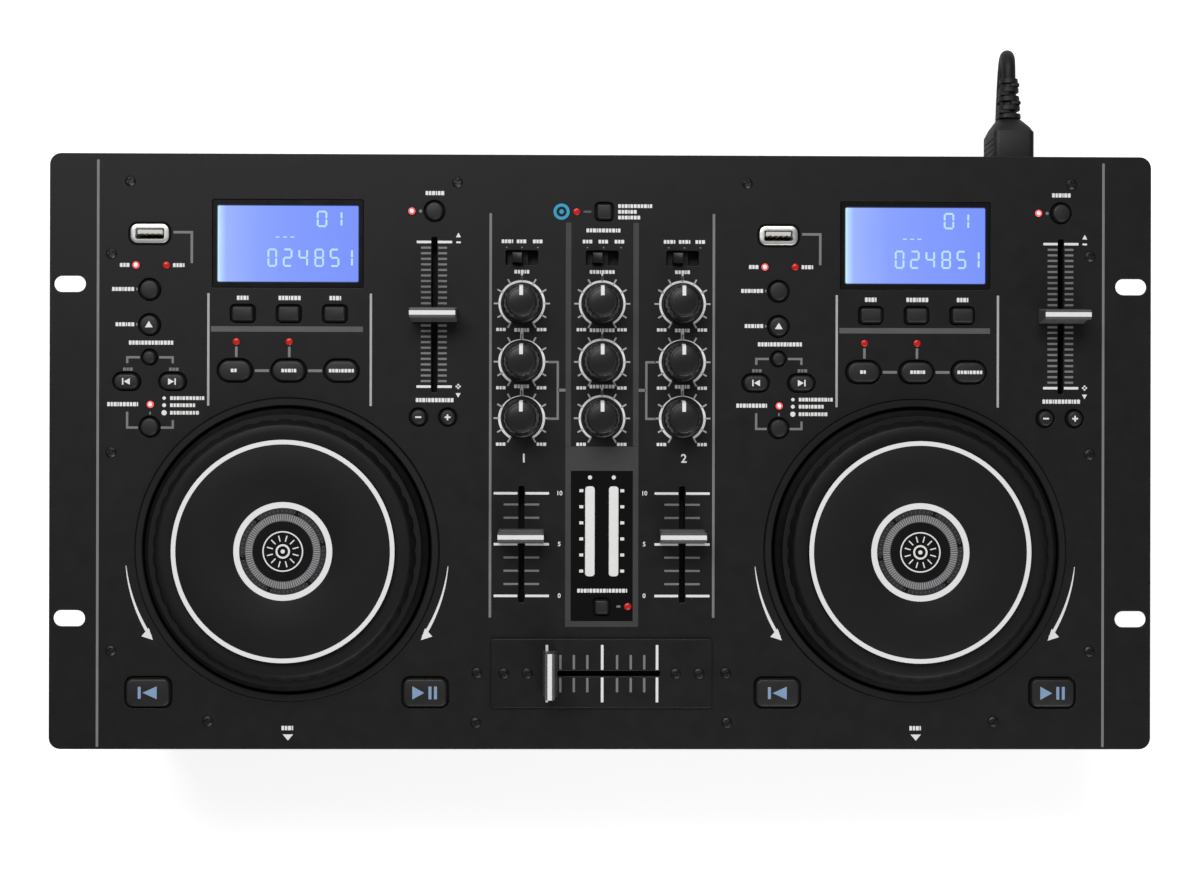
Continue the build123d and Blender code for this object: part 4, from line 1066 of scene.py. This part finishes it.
for side in (-1, 1):
    for x in (-23.9, 0.3, 24.3):
        bar(print_skin, x, CROSS_Y + side * 7.1, 1.15, 10.9, ink_white, PLATE_Z)
    for x in (-18.0, -12.1, -6.2, 6.8, 12.8, 18.7):
        bar(print_skin, x, CROSS_Y + side * 5.0, 1.0, 6.3, ink_pale, PLATE_Z)
print_skin.done("panel_printing", "console", "painted_panel")

# ------------------------------------------------------------------ display screens
# Each deck has a wide blue screen in a raised black border. A lamp at its left end lights it unevenly, and
# plain seven-segment digits stand on it.
BORDER_TOP = 93.0
WINDOW_Z = 92.4
SCREEN_W = 0.0614
DECK_X = 0.1375
DIGIT_LEVELS = [(0, WINDOW_Z - 0.15), (0, WINDOW_Z - 0.06)]
border_black = moulded("display_border", (9, 9, 10), (14, 14, 15), 50.0, (0.18, 0.3), 700.0, 0.00001)
screen_blue = Paint("display_glow", Base_Color=rgb(20, 24, 40), Roughness=0.12, Emission_Strength=1.0)
across = screen_blue.add("ShaderNodeSeparateXYZ", {}, {"Vector": screen_blue.place()})
near_left, near_right = (
    screen_blue.add("ShaderNodeMath", {"operation": "PINGPONG"}, {0: across - x + SCREEN_W / 2, 1: 0.1})
    for x in (-DECK_X, DECK_X)
)
near = screen_blue.add(
    "ShaderNodeMix", {"data_type": "FLOAT"}, {0: across > 0.0, 2: near_left, 3: near_right}
)
glow = screen_blue.add(
    "ShaderNodeValToRGB",
    {"stops": [(0.0, rgb(214, 250, 255)), (0.02, rgb(190, 226, 255)), (0.06, rgb(162, 184, 255)),
               (0.3, rgb(140, 164, 255)), (0.6, rgb(130, 155, 255)), (1.0, rgb(122, 148, 250))]},
    {"Fac": near / SCREEN_W},
)
haze = screen_blue.noise(50.0)
screen_paint = screen_blue.feed(
    Emission_Color=screen_blue.mix(haze * 0.25, glow, rgb(118, 146, 248)),
    Normal=screen_blue.bump(screen_blue.noise(900.0), 0.000004),
)
digit_glow = Paint("display_digits", Roughness=0.2, Emission_Strength=1.0)
digit_paint = digit_glow.feed(
    Emission_Color=digit_glow.mix(digit_glow.noise(300.0), rgb(176, 216, 255), rgb(200, 234, 255)),
    Base_Color=digit_glow.mix(digit_glow.noise(300.0), rgb(30, 40, 50), rgb(40, 50, 60)),
)
SEGMENTS = {
    "top": (0.5, 1.0, 0), "middle": (0.5, 0.5, 0), "bottom": (0.5, 0.0, 0),
    "left_up": (0.0, 0.75, 1), "left_down": (0.0, 0.25, 1),
    "right_up": (1.0, 0.75, 1), "right_down": (1.0, 0.25, 1),
}
LIT = {
    "0": "top bottom left_up left_down right_up right_down", "1": "right_up right_down",
    "2": "top middle bottom right_up left_down", "8": " ".join(SEGMENTS),
    "4": "left_up middle right_up right_down", "5": "top middle bottom left_up right_down",
}
displays = Skin()
for _, x0 in DECKS:
    edge = oblong(65.7, 38.5, 0.8, x0, DISPLAY_Y)
    window = oblong(61.4, 33.2, 0.6, x0, DISPLAY_Y)
    displays.stack([
        (edge, 0.0, 91.8), (edge, 0.0, 92.8), (edge, 0.2, BORDER_TOP),
        (window, -0.4, BORDER_TOP), (window, 0.0, WINDOW_Z), (window, 0.0, 91.8),
    ], border_black, True)
    displays.rise(oblong(61.6, 33.4, 0.6, x0, DISPLAY_Y), [(0, 91.9), (0, WINDOW_Z - 0.1)], screen_paint)
    displays.rise(oblong(64.0, 37.0, 0.8, x0, DISPLAY_Y), [(0, 84.0), (0, 91.85)], border_black)
    digit_places = [("0", 14.8, 101.8, 5.0, 6.4), ("1", 21.4, 101.8, 5.0, 6.4)]
    for text, x in zip("024851", (-6.9, -0.2, 6.6, 13.6, 20.3, 26.2)):
        digit_places.append((text, x, 84.8, 4.6, 7.2))
    for text, x, y, w, h in digit_places:
        for name in LIT[text].split():
            px, py, upright = SEGMENTS[name]
            size = (0.85, h / 2 - 0.5) if upright else (w - 1.6, 0.85)
            spot = (x0 + x + (px - 0.5) * (w - 1.2), y + (py - 0.5) * h)
            displays.rise(oblong(*size, 0.25, *spot, 2), DIGIT_LEVELS, digit_paint)
    for x in (-4.6, -1.4, 1.8):
        displays.rise(oblong(1.8, 0.5, 0.2, x0 + x, 93.8, 2), DIGIT_LEVELS, digit_paint)
displays.done("lit_displays", "console", "screen_lens", "display_screens")

# ------------------------------------------------------------------ usb sockets
# A bright flared shell stands up in each deck's panel. Inside is a tongue of white plastic near its rear
# side, with gilded contacts on its lower face. A black ring on the panel round each shell is painted shade.
USB_TOP = 93.4
shell_bright = metal("socket_shell", (232, 231, 228), (246, 245, 242), (0.34, 0.5))
tongue_white = moulded("socket_tongue", (206, 206, 202), (224, 224, 220), 100.0, (0.3, 0.4))
contact_gilt = metal("socket_contacts", (92, 74, 40), (118, 96, 56), (0.25, 0.35))
usb = Skin()
for _, x0 in DECKS:
    x = x0 + USB_X
    flare = oblong(15.6, 7.2, 2.4, x, USB_Y)
    brim = oblong(16.6, 8.2, 2.9, x, USB_Y)
    mouth = oblong(12.2, 4.5, 0.7, x, USB_Y, 6)
    back = oblong(13.1, 5.7, 0.8, x, USB_Y, 6)
    usb.stack([
        (flare, 0.0, 91.2), (flare, 0.0, PANEL_Z + 0.03), (brim, 0.0, PANEL_Z + 0.03),
        (brim, 0.0, USB_TOP - 0.15), (brim, 0.3, USB_TOP), (mouth, -0.3, USB_TOP),
        (mouth, 0.0, USB_TOP - 0.5), (mouth, 0.0, 80.6), (back, 0.0, 80.6), (back, 0.0, 91.2),
    ], shell_bright, True)
    usb.rise(oblong(12.3, 4.9, 0.6, x, USB_Y), [(0, 79.4), (0, 80.8)], bore_dark)
    # Painted shade: a black ring on the panel round the shell.
    painted_shade_ring = oblong(19.0, 10.4, 4.0, x, USB_Y)
    painted_shade_ring_hole = oblong(16.0, 7.6, 2.6, x, USB_Y)
    usb.stack([
        (painted_shade_ring, 0.0, INK_LOW), (painted_shade_ring, 0.0, INK_HIGH), (painted_shade_ring_hole, 0.0, INK_HIGH), (painted_shade_ring_hole, 0.0, INK_LOW),
    ], black_print_and_painted_shade, True)
    usb.rise(oblong(11.0, 1.9, 0.2, x, USB_Y + 0.8, 2), [(0, 80.6), (0, 92.4), (0.25, 92.7)], tongue_white)
    for i in range(4):
        spot = (x - 3.6 + 2.4 * i, USB_Y - 0.25)
        usb.rise(oblong(1.2, 0.7, 0.1, *spot, 2), [(0, 81.4), (0, 92.5), (0.1, 92.6)], contact_gilt)
usb.done("usb_shells", "console", "plated_steel", "usb_sockets")

# ------------------------------------------------------------------ indicator lights and level meter
# Red lamps with domed lenses stand in small collars. Those that are lit burn out to a pale pink heart. The
# level meter's two columns are milky round-ended light bars.
lamp_red = moulded("lamp_red", (206, 26, 22), (228, 44, 38), 700.0, (0.12, 0.2))
lamp_lit = Paint("lamp_lit", Roughness=0.15, Emission_Strength=1.0)
lit_paint = lamp_lit.feed(
    Base_Color=lamp_lit.mix(lamp_lit.noise(900.0), rgb(230, 60, 60), rgb(246, 90, 86)),
    Emission_Color=lamp_lit.mix(lamp_lit.noise(900.0), rgb(236, 70, 76), rgb(250, 96, 100)),
)
lamp_heart = Paint("lamp_heart", Roughness=0.15, Emission_Strength=1.0)
heart_paint = lamp_heart.feed(
    Base_Color=lamp_heart.mix(lamp_heart.noise(900.0), rgb(240, 180, 180), rgb(250, 210, 210)),
    Emission_Color=lamp_heart.mix(lamp_heart.noise(900.0), rgb(250, 196, 198), rgb(255, 226, 226)),
)
meter_milk = moulded("meter_milk", (246, 246, 243), (254, 254, 252), 240.0, (0.2, 0.3))


def dome(radius, height, low, part, steps):
    """The profile of a lens, from its edge up: a quarter turn has half of part's steps."""
    turns = [i * math.pi / part for i in range(steps)]
    return [(radius * math.cos(a), low + height * math.sin(a)) for a in turns]


lights = Skin()
deck_lights = [
    (-66.2, 81.3, 1), (-52.9, 81.3, 0), (-59.8, 20.4, 1), (54.1, 105.3, 1), (-22.4, 48.0, 0), (0.7, 48.0, 0)
]
light_spots = [(x0 + x, y, lit) for _, x0 in DECKS for x, y, lit in deck_lights]
light_spots += [(-11.3, 105.3, 0), (11.4, -67.6, 0)]
for x, y, lit in light_spots:
    collar = [(1.5, 90.0), (1.5, 92.98), (1.85, 93.0), (1.8, 93.2), (1.55, 93.2), (1.28, 90.0)]
    lights.revolve(x, y, collar, hard_black, True, 32)
    lens = [(1.2, 91.0)] + dome(1.56, 0.54, 93.16, 14, 7)
    lights.revolve(x, y, lens, lit_paint if lit else lamp_red, sides=32)
    if lit:
        lights.revolve(x, y, dome(1.05, 0.32, 93.42, 12, 6), heart_paint, sides=24)
for side in (-1, 1):
    column = oblong(4.2, 39.4, 1.35, side * METER_X, METER_Y)
    lights.rise(column, [(0, 90.0), (0, 93.1), (0.15, 93.24), (0.4, 93.3)], meter_milk)
lights.done("lamps_and_meter", "console", "light_lens", "indicator_lights")

# ------------------------------------------------------------------ jog wheels
# Each jog wheel is three mouldings: a fixed cup with a spindle, a wheel with a finger-notched slope that
# turns on it, and a disc clipped in the wheel's ledge. Hairlines are turned in the disc's face.
RIM_R = 66.3
WHEEL_R = 61.8
LEDGE_R = 54.0
DISC_R = 48.3
RIM_LOW = 78.0
RIM_TOP = 94.0
WHEEL_LOW = 83.5
SHOULDER_Z = 95.0
LEDGE_Z = 105.6
DISC_TOP = 108.0
LABEL_R = 21.3
LABEL_Z = 107.6
NOTCHES = 42
ROUND = 252
rim_paint = moulded(
    "jog_rim_plastic", (18, 18, 19), (25, 25, 26), 30.0, (0.42, 0.55), 900.0, 0.00003,
    Specular_IOR_Level=0.35,
)
wheel_paint = moulded(
    "jog_wheel_plastic", (11, 11, 12), (17, 17, 18), 24.0, (0.46, 0.6), 1100.0, 0.00004,
    Specular_IOR_Level=0.3,
)


def turned_paint(name, low, high, x0, rings=1400.0, depth=0.000012, gloss=(0.55, 0.68)):
    """Plastic with fine turned rings about the deck's middle."""
    paint = Paint(name, Specular_IOR_Level=0.3)
    centred = paint.add(
        "ShaderNodeVectorMath", {"operation": "SUBTRACT"}, {0: paint.place(), 1: (x0 * MM, JOG_Y * MM, 0.0)}
    )
    flat = paint.add("ShaderNodeVectorMath", {"operation": "MULTIPLY"}, {0: centred, 1: (1.0, 1.0, 0.0)})
    radius = paint.add("ShaderNodeVectorMath", {"operation": "LENGTH"}, {0: flat}, "Value")
    grooves = paint.add("ShaderNodeMath", {"operation": "SINE"}, {0: radius * rings * 2 * math.pi})
    return paint.feed(
        Base_Color=paint.mix(paint.noise(30.0) * 0.8 + grooves * 0.1, rgb(*low), rgb(*high)),
        Roughness=gloss[0] + paint.noise(80.0) * (gloss[1] - gloss[0]),
        Normal=paint.bump(grooves, depth, 0.6),
    )


label_dark = moulded("label_dark", (42, 42, 44), (52, 52, 54), 200.0, (0.3, 0.4))
label_black = moulded("label_black", (11, 11, 12), (17, 17, 18), 160.0, (0.2, 0.32))
label_pale = moulded("label_pale", (176, 176, 178), (196, 196, 198), 300.0, (0.25, 0.4))
label_mid = moulded("label_mid", (96, 96, 98), (116, 116, 118), 300.0, (0.25, 0.4))
cups = Skin()
for side, x0 in DECKS:
    wall = [
        (2.0, RIM_LOW), (RIM_R, RIM_LOW), (RIM_R, 93.5), (RIM_R - 0.5, RIM_TOP), (63.4, RIM_TOP),
        (63.0, 93.7), (63.0, RIM_LOW + 1.6), (4.0, RIM_LOW + 1.6), (4.0, 101.8), (3.4, 102.4),
    ]
    cups.revolve(x0, JOG_Y, wall, rim_paint, sides=168)
    jog = Skin()
    profile = [
        (9.0, 97.6), (9.0, 103.3), (59.0, 103.3 - 2.0), (59.4, 94.0), (59.5, WHEEL_LOW), (WHEEL_R, WHEEL_LOW),
        (WHEEL_R, SHOULDER_Z - 0.9), (WHEEL_R - 0.25, SHOULDER_Z - 0.2), (WHEEL_R - 0.9, SHOULDER_Z + 0.35),
        (60.0, 96.6), (58.9, 98.3), (57.4, 100.8), (55.9, 103.3), (55.1, 104.6), (54.5, 105.3),
        (LEDGE_R - 0.2, LEDGE_Z), (51.5, LEDGE_Z), (49.2, LEDGE_Z - 0.02), (5.0, LEDGE_Z - 0.1), (4.4, 97.6),
    ]
    notch_at = {9: 0.25, 10: 0.65, 11: 0.8, 12: 0.5, 13: 0.2}
    rings = []
    for k, (radius, z) in enumerate(profile):
        ring = []
        for i in range(ROUND):
            turn = 2 * math.pi * i / ROUND
            wave = 0.5 + 0.5 * math.cos(turn * NOTCHES)
            sunk = notch_at.get(k, 0.0) * wave ** 3
            ring.append((x0 + (radius - sunk) * math.cos(turn), JOG_Y + (radius - sunk) * math.sin(turn), z))
        rings.append(ring)
    jog.loft(rings, wheel_paint, True)
    jog.done(f"notched_wheel_{side}", f"jog_{side}", "jog_plastic", f"jog_wheel_{side}")
    disc_face = turned_paint(f"disc_face_{side}", (12, 12, 13), (18, 18, 19), x0)
    top = Skin()
    levels = [(3.0, LEDGE_Z), (DISC_R, LEDGE_Z), (DISC_R, DISC_TOP - 0.5), (DISC_R - 0.15, DISC_TOP - 0.15)]
    levels += [(DISC_R - 0.5, DISC_TOP), (22.0, DISC_TOP), (LABEL_R, LABEL_Z), (3.0, LABEL_Z - 0.001)]
    top.revolve(x0, JOG_Y, levels, disc_face, sides=144)
    for inner, outer, paint, z, thick in (
        (46.1, 48.05, ink_white, DISC_TOP - 0.03, 0.05),
        (18.75, 21.25, ink_white, LABEL_Z, 0.05),
        (16.2, 18.75, label_dark, LABEL_Z, 0.04),
        (13.0, 16.2, label_mid, LABEL_Z, 0.04),
        (8.5, 13.0, label_black, LABEL_Z, 0.04),
        (8.2, 8.75, ink_white, LABEL_Z, 0.06),
    ):
        corners = [(outer, z - 0.05), (outer, z + thick), (inner, z + thick), (inner, z - 0.05)]
        top.revolve(x0, JOG_Y, corners, paint, True, 144)
    top.rise(circle(8.2, x0, JOG_Y, 144), [(0, LABEL_Z - 0.02), (0, LABEL_Z + 0.04)], label_black)
    rays(top, x0, JOG_Y, 96, 0, 3.75, 13.3, 16.0, 0.26, label_pale, LABEL_Z, 0.12)
    rays(top, x0, JOG_Y, 60, 1, 6.0, 17.0, 17.9, 0.22, label_mid, LABEL_Z, 0.12)
    for turn in (10.5, 69.0, 130.0, 189.0, 249.0, 310.0):
        wedge = []
        for r, spread in ((16.3, -4.5), (18.7, -2.6), (18.7, 2.6), (16.3, 4.5)):
            a = math.radians(turn) + math.radians(spread)
            wedge.append((x0 + r * math.cos(a), JOG_Y + r * math.sin(a)))
        fill(top, wedge, label_black, LABEL_Z + 0.06)
    rays(top, x0, JOG_Y, 12, 15, 30, 4.4, 7.0, 0.5, ink_white, LABEL_Z, 0.14)
    fill(top, circle(3.1, x0, JOG_Y, 40)(0), ink_white, LABEL_Z + 0.05)
    fill(top, circle(2.3, x0, JOG_Y, 40)(0), label_black, LABEL_Z + 0.08)
    fill(top, circle(0.9, x0, JOG_Y, 24)(0), ink_white, LABEL_Z + 0.11)
    top.done(f"disc_top_{side}", f"jog_{side}", "jog_disc", f"jog_top_{side}")
cups.done("jog_cups", "console", "surround_plastic", "jog_surrounds")

# ------------------------------------------------------------------ keys
# The keys of one row are caps on one moulded strip of black rubber, held under the panel by their lips.
# Cue and play are wide caps, the others round, oval or square. Each key's wall and the bevel round its
# top are near-black: painted shade that widens the dark gap round the key.
KEY_TOP = 94.8
LIP_TOP = 90.7
LIP_LOW = 89.7
LIP = 1.2
key_paint = moulded("key_rubber_black", (23, 23, 24), (32, 32, 33), 50.0, (0.4, 0.55), 1300.0, 0.00005)
# Black of the lips under the panel; on each key's wall and top bevel it is painted shade.
lip_rubber_and_painted_shade = moulded("key_lip_and_painted_shade", (6, 6, 6), (9, 9, 9), 80.0, (0.6, 0.75))


def key_sign(skin, sign, x, y):
    """The mark printed on a key's cap."""
    z = KEY_TOP
    if sign == "back":
        bar(skin, x - 3.6, y, 1.3, 5.2, ink_blue, z)
        pointer(skin, x + 0.9, y, 5.6, 6.2, ink_blue, z, 90.0)
    elif sign == "play":
        pointer(skin, x - 2.9, y, 5.8, 5.2, ink_blue, z, -90.0)
        for px in (2.2, 4.6):
            bar(skin, x + px, y, 1.3, 5.6, ink_blue, z)
    elif sign == "up":
        pointer(skin, x, y + 0.2, 3.4, 2.8, ink_white, z)
    elif sign in ("skip_back", "skip_on"):
        way = 1 if sign == "skip_on" else -1
        pointer(skin, x - way * 0.4, y, 2.9, 2.6, ink_white, z, -90.0 * way)
        bar(skin, x + way * 1.4, y, 0.6, 2.9, ink_white, z)
    elif sign in ("minus", "plus"):
        bar(skin, x, y, 2.6, 0.7, ink_white, z)
        if sign == "plus":
            bar(skin, x, y, 0.7, 2.6, ink_white, z + 0.01)
    elif sign.startswith("words"):
        words(skin, x, y, float(sign.split()[1]), 1.5, ink_white, z)


def key_strip(node, body, keys, x0):
    strip = Skin()
    for shape, x, y, w, l, sign in keys:
        x += x0
        outline = key_outline(shape, x, y, w, l)
        lip = key_outline(shape, x, y, w + 2 * LIP, l + 2 * LIP) if shape != "round" else outline
        spread = 0.0 if shape != "round" else -LIP
        lip_levels = [(spread + 0.2, LIP_LOW), (spread, LIP_LOW + 0.2), (spread, LIP_TOP)]
        strip.rise(lip, lip_levels, lip_rubber_and_painted_shade)
        # Painted shade: the key's wall and top bevel are near-black, like the shaded gap round it.
        strip.rise(outline, [(0, LIP_TOP - 0.1), (0, 92.9), (0.45, 93.8)], lip_rubber_and_painted_shade)
        levels = [(0.45, 93.4), (0.45, KEY_TOP - 0.6), (0.6, KEY_TOP - 0.3), (0.9, KEY_TOP - 0.08)]
        strip.rise(outline, levels + [(1.25, KEY_TOP)], key_paint)
        key_sign(strip, sign, x, y)
    first = keys[0]
    for key in keys[1:]:
        ends = [(x0 + first[1], first[2], 90.2), (x0 + key[1], key[2], 90.2)]
        stroke(strip, [end[:2] for end in ends], 3.0, lip_rubber_and_painted_shade, LIP_LOW + 0.05, LIP_TOP - 0.05)
    strip.done(f"{node}_caps", body, "key_rubber", node)


for side, x0 in DECKS:
    for name, keys in deck_keys.items():
        key_strip(f"{name}_{side}", f"{name}_{side}", keys, x0)
for name, keys in mixer_keys.items():
    key_strip(name, name, keys, 0.0)

# ------------------------------------------------------------------ rotary knobs
# Nine push-on knobs have a low skirt and a fluted grip that narrows upwards. A raised white pointer runs
# over the top's edge and down the grip.
KNOB_LOW = 93.6
KNOB_TOP = 108.0
FLUTES = 18
KNOB_ROUND = 108
RIDGE = ((-0.8, -0.1, -0.5), (0.8, -0.1, -0.5), (0.8, 0.0, 0.25), (-0.8, 0.0, 0.25))
knob_paint = moulded("knob_plastic_black", (20, 20, 21), (27, 27, 28), 70.0, (0.3, 0.42), 1200.0, 0.00003)
knob_face = moulded("knob_face_black", (29, 29, 30), (37, 37, 38), 50.0, (0.26, 0.36), 1000.0, 0.00002)
for column, x in knob_columns:
    for row, y in zip(("upper", "centre", "lower"), KNOB_ROWS):
        knob = Skin()
        levels = [
            (2.9, KNOB_LOW), (8.3, KNOB_LOW), (8.6, KNOB_LOW + 0.3), (8.6, KNOB_LOW + 1.5),
            (8.3, KNOB_LOW + 2.0), (7.95, KNOB_LOW + 2.15), (7.8, KNOB_LOW + 2.5), (7.5, 99.0), (7.1, 104.0),
            (6.85, 107.0), (6.65, 107.6), (6.2, 107.95), (5.6, KNOB_TOP), (5.3, KNOB_TOP - 0.12),
        ]
        rings = []
        for k, (radius, z) in enumerate(levels):
            ring = []
            for i in range(KNOB_ROUND):
                turn = 2 * math.pi * i / KNOB_ROUND
                flute = 0.28 * (0.5 + 0.5 * math.cos(turn * FLUTES)) ** 2 if 5 < k < 10 else 0.0
                ring.append((x + (radius - flute) * math.cos(turn), y + (radius - flute) * math.sin(turn), z))
            rings.append(ring)
        knob.loft(rings, knob_paint)
        face_levels = [(0, KNOB_TOP - 0.3), (0, KNOB_TOP - 0.06), (0.15, KNOB_TOP)]
        knob.rise(circle(5.5, x, y, 48), face_levels, knob_face)
        knob.rise(circle(2.9, x, y, 32), [(0, 85.0), (0, KNOB_LOW + 0.1)], hard_black)
        line = [(y + 2.7, KNOB_TOP + 0.02), (y + 6.4, KNOB_TOP + 0.02), (y + 7.0, 107.3), (y + 7.75, 98.6)]
        knob.loft([[(x + dx, py + dy, pz + dz) for dx, dy, dz in RIDGE] for py, pz in line], ink_white)
        knob.done(f"knob_cap_{column}_{row}", f"knob_{column}_{row}", "knob_plastic", f"knob_{column}_{row}")

# ------------------------------------------------------------------ slide switches
# Three small black slides stand in slots of the panel. Each has a plain square stem on a wide foot, which
# is held under the sheet.
slide_paint = moulded("slide_plastic", (18, 18, 19), (26, 26, 27), 60.0, (0.32, 0.44), 1000.0, 0.00003)
for name, x in knob_columns:
    slide = Skin()
    x -= 2.0
    stem = [(0, 88.4), (0, 95.8), (0.15, 96.05), (0.4, 96.2)]
    slide.rise(oblong(4.6, 4.6, 0.4, x, SWITCH_Y, 3), stem, slide_paint)
    slide.rise(oblong(9.2, 6.0, 0.3, x, SWITCH_Y, 2), [(0, 88.2), (0, 88.6)], slide_paint)
    slide.done(f"slide_{name}", f"slide_switch_{name}", "knob_plastic", f"slide_switch_{name}")

# ------------------------------------------------------------------ faders
# Each fader cap is a narrow silver-grey moulding with ribbed flanks and a white line along its ridge. It is
# pushed on a flat steel blade that stands out of the fader's slot.
CAP_LOW = 93.6
CAP_TOP = 108.0
CAP_W = 20.0
CAP_L = 6.4
cap_paint = moulded("cap_silver_grey", (80, 81, 83), (98, 99, 101), 60.0, (0.3, 0.42), 1000.0, 0.00003)
cap_dark = moulded("cap_dark_grey", (48, 49, 50), (62, 63, 64), 60.0, (0.36, 0.5), 1000.0, 0.00003)
blade_steel = metal("fader_blade", (90, 91, 93), (128, 129, 131), (0.3, 0.42))


def fader(name, x, y, lift, across):
    place = Matrix.Translation((x, y, lift)) @ Matrix.Rotation(math.pi / 2 if across else 0.0, 4, "Z")
    cap = Skin(place)
    high = CAP_TOP - CAP_LOW
    profile = [(CAP_L / 2, 0.0), (CAP_L / 2, 1.2), (CAP_L / 2 - 0.5, 3.0), (2.05, 8.0), (1.95, high - 1.4)]
    profile += [(2.2, high - 0.5), (2.05, high - 0.1), (1.4, high)]
    outline = [(half, z) for half, z in profile] + [(-half, z) for half, z in profile[::-1]]
    ends = [(-CAP_W / 2, 0.35), (-CAP_W / 2 + 0.35, 0.0), (CAP_W / 2 - 0.35, 0.0), (CAP_W / 2, 0.35)]
    rings = []
    for end, inset in ends:
        rings.append([(end, py * (1 - inset / 4), CAP_LOW + pz * (1 - inset / 20)) for py, pz in outline])
    cap.loft(rings, cap_paint)
    rib_ends = (-CAP_W / 2 + 0.8, CAP_W / 2 - 0.8)
    line_ends = (-CAP_W / 2 + 0.05, CAP_W / 2 - 0.05)
    for edge in (-1, 1):
        for i in range(3):
            level = 3.4 + i * 1.9
            half = 2.7 - 0.16 * i * 1.9
            rib = [
                (edge * (half - 0.4), level), (edge * (half + 0.18), level + 0.2),
                (edge * (half + 0.12), level + 0.9), (edge * (half - 0.4), level + 1.1),
            ]
            cap.loft([[(px, py, CAP_LOW + pz) for py, pz in rib] for px in rib_ends], cap_dark)
    line = [
        (-1.0, CAP_TOP - 0.3), (1.0, CAP_TOP - 0.3), (1.0, CAP_TOP + 0.25), (0.8, CAP_TOP + 0.4),
        (-0.8, CAP_TOP + 0.4), (-1.0, CAP_TOP + 0.25),
    ]
    cap.loft([[(px, py, pz) for py, pz in line] for px in line_ends], ink_white)
    blade = oblong(1.4, 4.0, 0.2, steps=2)
    cap.rise(blade, [(0, 83.5 - lift), (0, CAP_LOW + 1.0)], blade_steel)
    cap.done(f"{name}_cap", name, "cap_silver", name)


for side, x0 in DECKS:
    fader(f"pitch_fader_{side}", x0 + PITCH_X, PITCH_Y, 0.0, False)
for side, x in (("left", -LINE_X), ("right", LINE_X)):
    fader(f"line_fader_{side}", x, -36.8, 0.0, False)
fader("crossfader", -22.5, CROSS_Y, 1.2, True)
